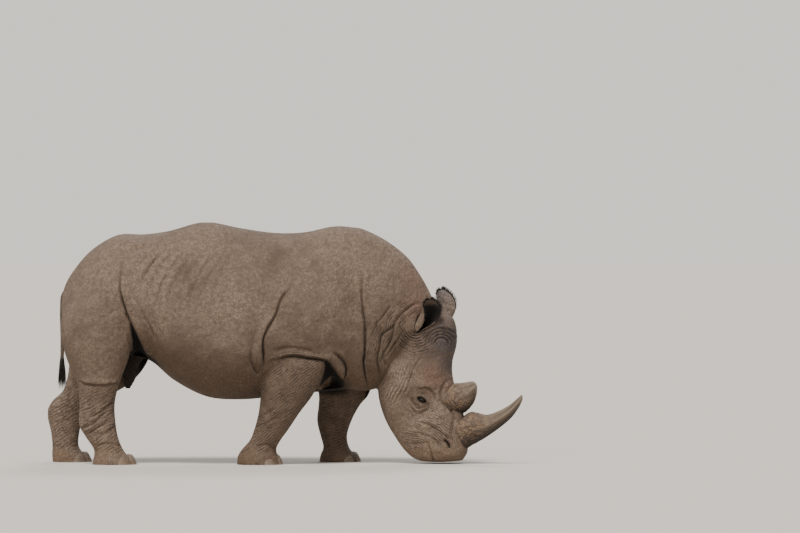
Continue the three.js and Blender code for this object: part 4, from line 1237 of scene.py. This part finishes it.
def eye_finish():
    """Brown-black glass: the pupil's ellipse, the iris's dark ring and fine spokes, and a brown white."""
    glass = Finish("eye glass", Coat_Weight=0.3, Coat_Roughness=0.05)
    from_axis, level = glass.attribute("from_axis"), glass.attribute("pupil")
    spokes = glass.noise(900, 3)
    colour = glass.coats(
        (0.030, 0.015, 0.008),
        (from_axis.between(0.2, 1.0), (0.012, 0.007, 0.005)),
        (spokes.between(0.35, 0.7) * 0.4, (0.050, 0.028, 0.015)),
        (level.between(1.08, 0.95), (0.002, 0.002, 0.002)),
        (from_axis.between(0.97, 1.10), (0.030, 0.021, 0.016)))
    return glass.finish(colour, spokes * 0.02 + 0.05, spokes * 0.00002)


glass_eye = eye_finish()
for side, name in ((-1, "right"), (1, "left")):
    middle, radius, axes = eye_place(side)
    polar = np.linspace(0.001, np.pi - 0.001, 40)[:, None]
    turn = np.linspace(0, 2 * np.pi, 56, endpoint=False)
    bulge = CORNEA_BULGE * smooth(np.sin(polar) * radius, 0.016, 0.006) * (np.cos(polar) > 0)
    reach = radius - LID_CLEARANCE + bulge - CORNEA_BULGE
    flat, out = reach * np.sin(polar), reach * np.cos(polar)
    ball = np.stack([flat * np.cos(turn), flat * np.sin(turn), out + 0 * turn], -1)
    surface = shell(middle + ball @ axes)
    eyeball = add_piece("eyeball_" + name, *surface)
    along, rise, depth = ((surface[0] - middle) @ axes.T).T
    pupil_along, pupil_rise = PUPIL_HALF
    add_values(eyeball, from_axis=np.where(depth > 0, np.hypot(along, rise), BEHIND[0]) / IRIS_RADIUS,
               pupil=np.where(depth > 0, np.hypot(along / pupil_along, rise / pupil_rise), BEHIND[1]))
    eyeball.data.materials.append(glass_eye)
    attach(eyeball, "root")
    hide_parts("eye_" + name)

# ---- Horns ---------------------------------------------------------------------------------------
# Both horns are of pressed hair-like fibres, with no bone inside, and sit on the snout's skin. Their
# bases are frayed, cracked and stained; towards the tip they are rubbed smooth.
HORNS = {
    "front": [
        [1.270, 0.320, 1.215, 0.120, 0.092],  # root
        [1.337, 0.366, 1.278, 0.092, 0.104],  # base
        [1.395, 0.360, 1.350, 0.132, 0.088],
        [1.462, 0.349, 1.443, 0.184, 0.068],  # lower third
        [1.545, 0.377, 1.548, 0.255, 0.050],  # middle
        [1.622, 0.420, 1.637, 0.330, 0.035],  # upper third
        [1.676, 0.465, 1.692, 0.405, 0.023],
        [1.698, 0.484, 1.711, 0.444, 0.016],
        [1.705, 0.491, 1.717, 0.462, 0.011],
        [1.711, 0.492, 1.718, 0.477, 0.005],  # tip
    ],
    "rear": [
        [1.130, 0.560, 1.225, 0.345, 0.112],  # root
        [1.205, 0.568, 1.300, 0.368, 0.104],  # base
        [1.288, 0.577, 1.360, 0.430, 0.066],
        [1.345, 0.587, 1.382, 0.485, 0.038],
        [1.368, 0.584, 1.388, 0.520, 0.024],
        [1.378, 0.576, 1.389, 0.550, 0.010],  # tip
    ],
}
HORN_ALONG, HORN_AROUND = 150, 160
FIBRES_ROUND, LAYERS_ALONG = 46, 14


def horn_grid(ribs, seed):
    """A horn's tube, roughened. Fibres are ridges that run lengthwise: a wave round the horn, bent by slow
    noise. Frayed layers are steps: the height falls by one step's depth across each step's edge, and the
    edges wander. Both fade from the base to the tip. Also gives how far along the horn each point is, its
    place on a straight horn, and its height in its frayed layer."""
    grid = tube(ribs, HORN_ALONG, HORN_AROUND, 2.0, 2.0)
    along, angle = np.meshgrid(np.linspace(0, 1, HORN_ALONG),
                               np.linspace(0, 2 * np.pi, HORN_AROUND, endpoint=False), indexing="ij")
    out = grid - grid.mean(1, keepdims=True)
    size = np.linalg.norm(out, axis=-1)
    fray = smooth(along, 0.62, 0.12)
    straight = np.stack([np.cos(angle), np.sin(angle), along * 0.35], -1)
    fibres = 0.5 * np.sin(FIBRES_ROUND * angle + 3 * wavy(straight, 0.9, seed))
    fibres += 0.8 * wavy(straight, 0.10, seed + 1, waves=14)
    steps = along * LAYERS_ALONG + 1.1 * wavy(straight, 0.7, seed + 2) + 0.5 * wavy(straight, 0.22, seed + 3)
    part = steps - np.floor(steps)
    layers = (smooth(part, 0.0, 0.25) - part) * fray
    broad = wavy(straight, 1.3, seed + 4)
    height = 0.0011 * fibres * (0.25 + fray) + 0.0045 * layers + 0.0030 * broad * (0.3 + fray)
    height *= smooth(size, 0.0, 0.03) / np.maximum(size, 1e-6)
    return grid + out * height[..., None], along, straight, layers


def horn_finish():
    """Colour: a brown-grey drawn out along the fibres, an ochre and pinkish frayed base, pale rubbed tip,
    dark cracks and pits, and painted shade on the underside. Height: fine fibres along the horn, flakes and
    pits on its base."""
    horn = Finish("horn fibre", Specular_IOR_Level=0.4)
    fibre = horn.node("ShaderNodeAttribute", {"attribute_name": "fibre"}, output="Vector")
    along, layer, under = horn.attribute("along"), horn.attribute("layer"), horn.attribute("under")
    drawn, strands = horn.noise(3.2, 5, at=fibre), horn.noise(16, 4, at=fibre)
    clouds, flakes, pits = horn.noise(26, 4), horn.noise(70, 4), horn.noise(44, 3)
    crazed = horn.cells(42, horn.moved(horn.place, horn.noise(20, 2, output=1), 0.03)).between(0.12, 0.0)
    base = horn.coats((0.230, 0.136, 0.070), (clouds.between(0.42, 0.58), (0.115, 0.078, 0.060)))
    colour = horn.coats(
        (0.062, 0.043, 0.028),
        (drawn.between(0.36, 0.64), (0.205, 0.155, 0.110)),
        (along.between(0.52, 0.16) * clouds.between(0.25, 0.55) * 0.85, base),
        (along.between(0.55, 0.95) * 0.6, (0.290, 0.238, 0.185)),
        (strands.between(0.52, 0.70) * 0.55, (0.060, 0.043, 0.030)),
        (flakes.between(0.58, 0.72) * along.between(0.5, 0.1) * 0.6, (0.350, 0.270, 0.190)),
        (pits.between(0.54, 0.70) * along.between(0.65, 0.2) * 0.65, (0.045, 0.031, 0.022)),
        (layer.between(-0.15, -0.65) * 0.6, (0.050, 0.035, 0.025)),
        (crazed * along.between(0.60, 0.15) * 0.55, (0.040, 0.027, 0.019)),
        # painted shade on the underside
        (under * 0.93, (0.015, 0.010, 0.007)))
    height = strands * 0.0030 + drawn * 0.0030 + flakes * along.between(0.6, 0.2) * 0.0035
    height = height - pits.between(0.54, 0.74) * along.between(0.65, 0.2) * 0.003
    return horn.finish(colour, along.between(0.3, 0.9, 0.72, 0.42) + clouds * 0.08, height)


horn_fibre = horn_finish()
for seed, (name, ribs) in zip((40, 50), HORNS.items()):
    grid, along, straight, layers = horn_grid(ribs, seed)
    points, faces = shell(grid)
    # Where the horn faces down, for its painted shade.
    under = smooth(-normals_of(points, np.array([face[:3] for face in faces]))[:, 2], 0.10, 0.72)
    under[-2:] = 0  # the middles of the two end rings
    points, faces = shell(turned(grid))
    horn = add_piece("horn_of_fibre_" + name, points, faces)
    add_values(horn, along=np.append(along, (0, 1)), layer=np.append(layers, (0, 0)), under=under)
    fibre = np.vstack([straight.reshape(-1, 3), [(0, 0, 0), (0, 0, 1)]])
    horn.data.attributes.new("fibre", "FLOAT_VECTOR", "POINT").data.foreach_set("vector", fibre.ravel())
    horn.data.materials.append(horn_fibre)
    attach(horn, "root")
    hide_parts("horn_" + name)

# ---- Toenails ------------------------------------------------------------------------------------
# Three broad nails on the front of each foot, the middle one widest, grown straight out of the skin:
# ridged from side to side, worn at the floor, and stained by soil.
NAILS = {  # bearing from straight ahead towards the inside, half the width, height, depth
    "middle": (0.0, 0.057, 0.074, 0.030),
    "inner": (1.02, 0.044, 0.060, 0.026),
    "outer": (-1.02, 0.044, 0.060, 0.026),
}
NAIL_LEAN = 0.32  # radians, the nail's face from upright
NAIL_INSET = 0.45  # part of a nail's depth that is inside the foot's sole


def nail_surface(width, height, depth):
    """A nail standing at the origin and facing +X, as a stack of ellipses: at the height h of the way up,
    half as wide as (1 - h^2.6)^0.5 of the foot's width, leaning back, with low rings of growth."""
    h = (1 - np.linspace(1, 0, 26) ** 1.6)[:, None]
    angle = np.linspace(0, 2 * np.pi, 48, endpoint=False)
    size = np.sqrt(np.maximum(1 - h**2.6, 1e-4))
    ridges = 1 + 0.018 * np.sin(h * 26) + 0.010 * np.sin(angle * 9 + 2 * h)
    x = depth * (0.35 + 0.65 * size) * np.cos(angle) * ridges - math.tan(NAIL_LEAN) * h * height
    return shell(np.stack([x, width * size * ridges * np.sin(angle), h * height + 0 * angle], -1))


def nail_finish():
    """Colour: grey-brown growth bands, paler at the worn lower edge, soil by noise. Height: the bands."""
    nail = Finish("toenail", Specular_IOR_Level=0.4)
    level = nail.node("ShaderNodeSeparateXYZ", {}, {"Vector": nail.place}, "Z")
    bands = nail.node("ShaderNodeTexNoise", {"noise_dimensions": "1D"},
                      {"W": level + nail.noise(20, 2) * 0.02, "Scale": 160, "Detail": 3.0})
    clouds = nail.noise(40, 4)
    colour = nail.coats(
        (0.110, 0.080, 0.058),
        (bands.between(0.36, 0.64), (0.205, 0.158, 0.120)),
        (level.between(0.020, 0.0) * 0.6, (0.260, 0.200, 0.150)),
        (clouds.between(0.48, 0.66) * 0.55, (0.230, 0.140, 0.080)))
    return nail.finish(colour, clouds * 0.25 + 0.5, bands * 0.0012 + clouds * 0.0010)


toenail = nail_finish()
for leg, ribs in LEGS.items():
    ax, _, bx, _, half, mid = ribs[-1]
    inwards = -np.sign(mid)
    for toe, (bearing, width, height, depth) in NAILS.items():
        base, faces = nail_surface(width, height, depth)
        inset = NAIL_INSET * depth
        c, s = math.cos(bearing), math.sin(bearing) * inwards
        spot = ((ax + bx) / 2 + ((ax - bx) / 2 - inset) * c, mid + s * (half - inset), 0)
        nail = add_piece(f"toenail_{leg}_{toe}", base @ [[c, s, 0], [-s, c, 0], [0, 0, 1]] + spot, faces)
        nail.data.materials.append(toenail)
        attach(nail, "root")
        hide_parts(f"nail_{leg}_{toe}")

# ---- Bristles ------------------------------------------------------------------------------------
# The only hair: a dark fringe round the rims of the ears, short lashes on the upper lids, and the coarse
# tuft at the tail's end. Each bristle is a thin solid spike, and its colour patch lies at its root.
PATCH = 0.003  # size of a bristle's colour patch on the unwrap


def bristles(name, roots, ways, lengths, thickness, sag, unwrap, seed, steps=4):
    """Spikes as one mesh. Each has a triangle for a section, shrinking to a point, along a parabola that
    starts in its way and is drawn down by sag times its length. unwrap gives each root's place, 0 to 1."""
    count = len(roots)
    ways = unit(ways)
    helper = np.where(np.abs(ways[:, 2:]) < 0.8, [[0, 0, 1.0]], [[1.0, 0, 0]])
    one = unit(np.cross(ways, helper))[:, None]
    two = np.cross(ways, one[:, 0])[:, None]
    spin = np.random.default_rng(seed).uniform(0, 2 * np.pi, count)[:, None] + np.arange(3) * 2 * np.pi / 3
    ring = one * np.cos(spin)[..., None] + two * np.sin(spin)[..., None]
    t = np.linspace(0, 1, steps + 1)
    centre = roots[:, None] + (t[:, None] * ways[:, None]) * lengths[:, None, None]
    centre[..., 2] -= sag * lengths[:, None] * t**2
    thick = thickness * (1 - t**1.5 * 0.96)
    points = centre[:, :, None] + thick[:, None, None] * ring[:, None]
    base = (np.arange(count) * 3 * (steps + 1))[:, None, None]
    level, corner = np.arange(steps)[:, None] * 3, np.arange(3)
    a, b = base + level + corner, base + level + (corner + 1) % 3
    sides = np.stack([a, b, b + 3, a + 3], -1).reshape(-1, 4)
    ends = [(base[..., 0] + row).reshape(-1, 3).tolist() for row in ([2, 1, 0], 3 * steps + corner)]
    piece = add_piece(name, points.reshape(-1, 3), sides.tolist() + ends[0] + ends[1])
    across, up = np.tile([0.0, 0.5, 1.0], count * (steps + 1)), np.tile(np.repeat(t, 3), count)
    patch = np.repeat(unwrap, 3 * (steps + 1), axis=0) + PATCH * np.stack([across, up], 1)
    corners = np.empty(len(piece.data.loops), np.int32)
    piece.data.loops.foreach_get("vertex_index", corners)
    piece.data.uv_layers.new(name="OFBake").data.foreach_set("uv", patch[corners].ravel())
    piece.data.materials.append(bristle)
    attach(piece, "root")
    return piece


def bristle_finish():
    """Nearly black hair, a little browner in places."""
    hair = Finish("bristle hair", Specular_IOR_Level=0.3)
    tone = hair.coats((0.012, 0.010, 0.008), (hair.noise(60, 2).between(0.4, 0.7), (0.040, 0.030, 0.022)))
    return hair.finish(tone, hair.noise(120, 2) * 0.1 + 0.55, hair.noise(300, 2) * 0.0001)


bristle = bristle_finish()
FRINGE_COUNT, LASH_COUNT, TUFT_COUNT = 900, 46, 700
for seed, (name, (grid, _)) in enumerate(ear_shapes.items()):
    draw = np.random.default_rng(seed + 7)
    row = ((EAR_ALONG - 1) * (1 - draw.uniform(0, 1, FRINGE_COUNT) ** 1.3 * 0.62)).astype(int)
    rim = np.where(draw.uniform(0, 1, FRINGE_COUNT) < 0.5, 0, EAR_AROUND // 2)
    middles = grid.mean(1)
    ahead = unit(middles[np.minimum(row + 2, EAR_ALONG - 1)] - middles[np.maximum(row - 2, 0)])
    ways = unit(grid[row, rim] - middles[row]) + 0.9 * ahead + 0.35 * draw.normal(size=(FRINGE_COUNT, 3))
    roots = grid[row, rim] + 0.004 * draw.normal(size=(FRINGE_COUNT, 3))
    lengths = draw.uniform(0.008, 0.022, FRINGE_COUNT)
    unwrap = np.stack([0.05 + 0.9 * row / EAR_ALONG, 0.25 + 0.5 * (rim > 0)], 1)
    bristles("ear_fringe_" + name, roots, ways, lengths, 0.0009, 0.15, unwrap, seed)

LASH_ROW = 6  # of the lid's section
for side, name in ((-1, "right"), (1, "left")):
    draw = np.random.default_rng(side + 20)
    grid, _ = lid_grid(side)
    _, up, out = eye_place(side)[-1]
    part = 0.5 * draw.uniform(0.12, 0.85, LASH_COUNT)  # of the way round; the upper lid is its first half
    roots = grid[(part * len(grid)).astype(int), LASH_ROW]
    ways = out + 0.7 * up + 0.25 * draw.normal(size=(LASH_COUNT, 3))
    lengths = draw.uniform(0.010, 0.017, LASH_COUNT)
    unwrap = np.stack([part, np.full(LASH_COUNT, 0.5)], 1)
    bristles("lashes_" + name, roots, ways, lengths, 0.0006, 0.5, unwrap, side + 30)

TUFT_END, TUFT_TOP = (corner.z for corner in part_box("tail_tuft"))
draw = np.random.default_rng(12)
drop = draw.uniform(0, 1, TUFT_COUNT) ** 1.4 * 0.55
heights = TUFT_TOP + 0.035 - drop * (TUFT_TOP - TUFT_END) * 0.45
turn = draw.uniform(0, 2 * np.pi, TUFT_COUNT)
dock_x = (TAIL[-1][0] + TAIL[-1][2]) / 2
dock_radius = np.where(heights > TUFT_TOP - 0.01, 0.011, 0.006)
roots = np.stack([dock_x + dock_radius * np.cos(turn), dock_radius * np.sin(turn), heights], 1)
ways = np.stack([0.07 * np.cos(turn), 0.07 * np.sin(turn), np.full(TUFT_COUNT, -1.0)], 1)
ways += draw.normal(size=(TUFT_COUNT, 3)) * 0.03
lengths = np.minimum(draw.uniform(0.10, 0.21, TUFT_COUNT), heights - TUFT_END - 0.004)
unwrap = np.stack([turn / (2 * np.pi) * 0.95, 0.1 + 0.8 * drop], 1)
tuft = bristles("tail_bristles", roots, ways, lengths, 0.0014, 0.0, unwrap, 13, steps=5)
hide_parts("tail_tuft")

# ---- Museum floor, light and camera --------------------------------------------------------------
# The model stands on a plain pale floor under soft, far lamps: one overhead, one from the front left,
# and a weak one from behind that draws the line of the back.
FLOOR_HALF = 400.0


def floor_finish():
    """A matt pale floor with faint clouds of tone."""
    floor = Finish("pale floor", Specular_IOR_Level=0.2)
    tone = floor.coats((0.62, 0.58, 0.53), (floor.noise(0.6, 3), (0.66, 0.62, 0.57)))
    return floor.finish(tone, 0.9, floor.noise(40, 2) * 0.0004)


corners = np.array([(-1, -1, 0), (1, -1, 0), (1, 1, 0), (-1, 1, 0)]) * FLOOR_HALF
floor = add_piece("floor", corners, [[0, 1, 2, 3]])
floor.data.materials.append(floor_finish())


def add_sun(name, azimuth, height, strength, colour, softness):
    """A broad far lamp. Azimuth 0 shines from the camera's side and 90 from ahead of the animal; height is
    its angle above the floor, and softness the angle that it fills, all in degrees."""
    lamp = bpy.data.objects.new(name, bpy.data.lights.new(name, "SUN"))
    lamp.data.energy, lamp.data.color, lamp.data.angle = strength, colour, math.radians(softness)
    lamp.rotation_euler = (math.radians(90 - height), 0, math.radians(azimuth))
    bpy.context.scene.collection.objects.link(lamp)


add_sun("overhead", -18, 62, 3.35, (1.0, 0.965, 0.92), 22)
add_sun("front", -25, 18, 0.70, (1.0, 0.97, 0.93), 50)
add_sun("behind", 168, 38, 1.1, (0.97, 0.98, 1.0), 20)

air = bpy.data.worlds.new("air")
bpy.context.scene.world = air
air.use_nodes = True
sky = air.node_tree.nodes
kinds = ("ShaderNodeLightPath", "ShaderNodeBackground", "ShaderNodeMixShader")
path, backdrop, choice = (sky.new(kind) for kind in kinds)
glow = sky["Background"]  # lights the model; the backdrop is what is seen behind it
glow.inputs["Color"].default_value = (0.86, 0.85, 0.84, 1)
glow.inputs["Strength"].default_value = 0.5
backdrop.inputs["Color"].default_value = (1.015, 0.970, 0.887, 1)
for output, socket in ((path.outputs["Is Camera Ray"], choice.inputs["Fac"]),
                       (glow.outputs[0], choice.inputs[1]),
                       (backdrop.outputs[0], choice.inputs[2]),
                       (choice.outputs[0], sky["World Output"].inputs["Surface"])):
    air.node_tree.links.new(output, socket)

CAMERA_PLACE = (0.829, -40.0, 1.564)
CAMERA_TILT = -0.0040  # radians, a little below level
camera = bpy.data.objects.new("camera", bpy.data.cameras.new("camera"))
camera.location = CAMERA_PLACE
camera.rotation_euler = (math.pi / 2 + CAMERA_TILT, 0, 0)
camera.data.lens = 252  # a long lens from 40 m away
camera.data.clip_end = 1000
bpy.context.scene.collection.objects.link(camera)
bpy.context.scene.camera = camera
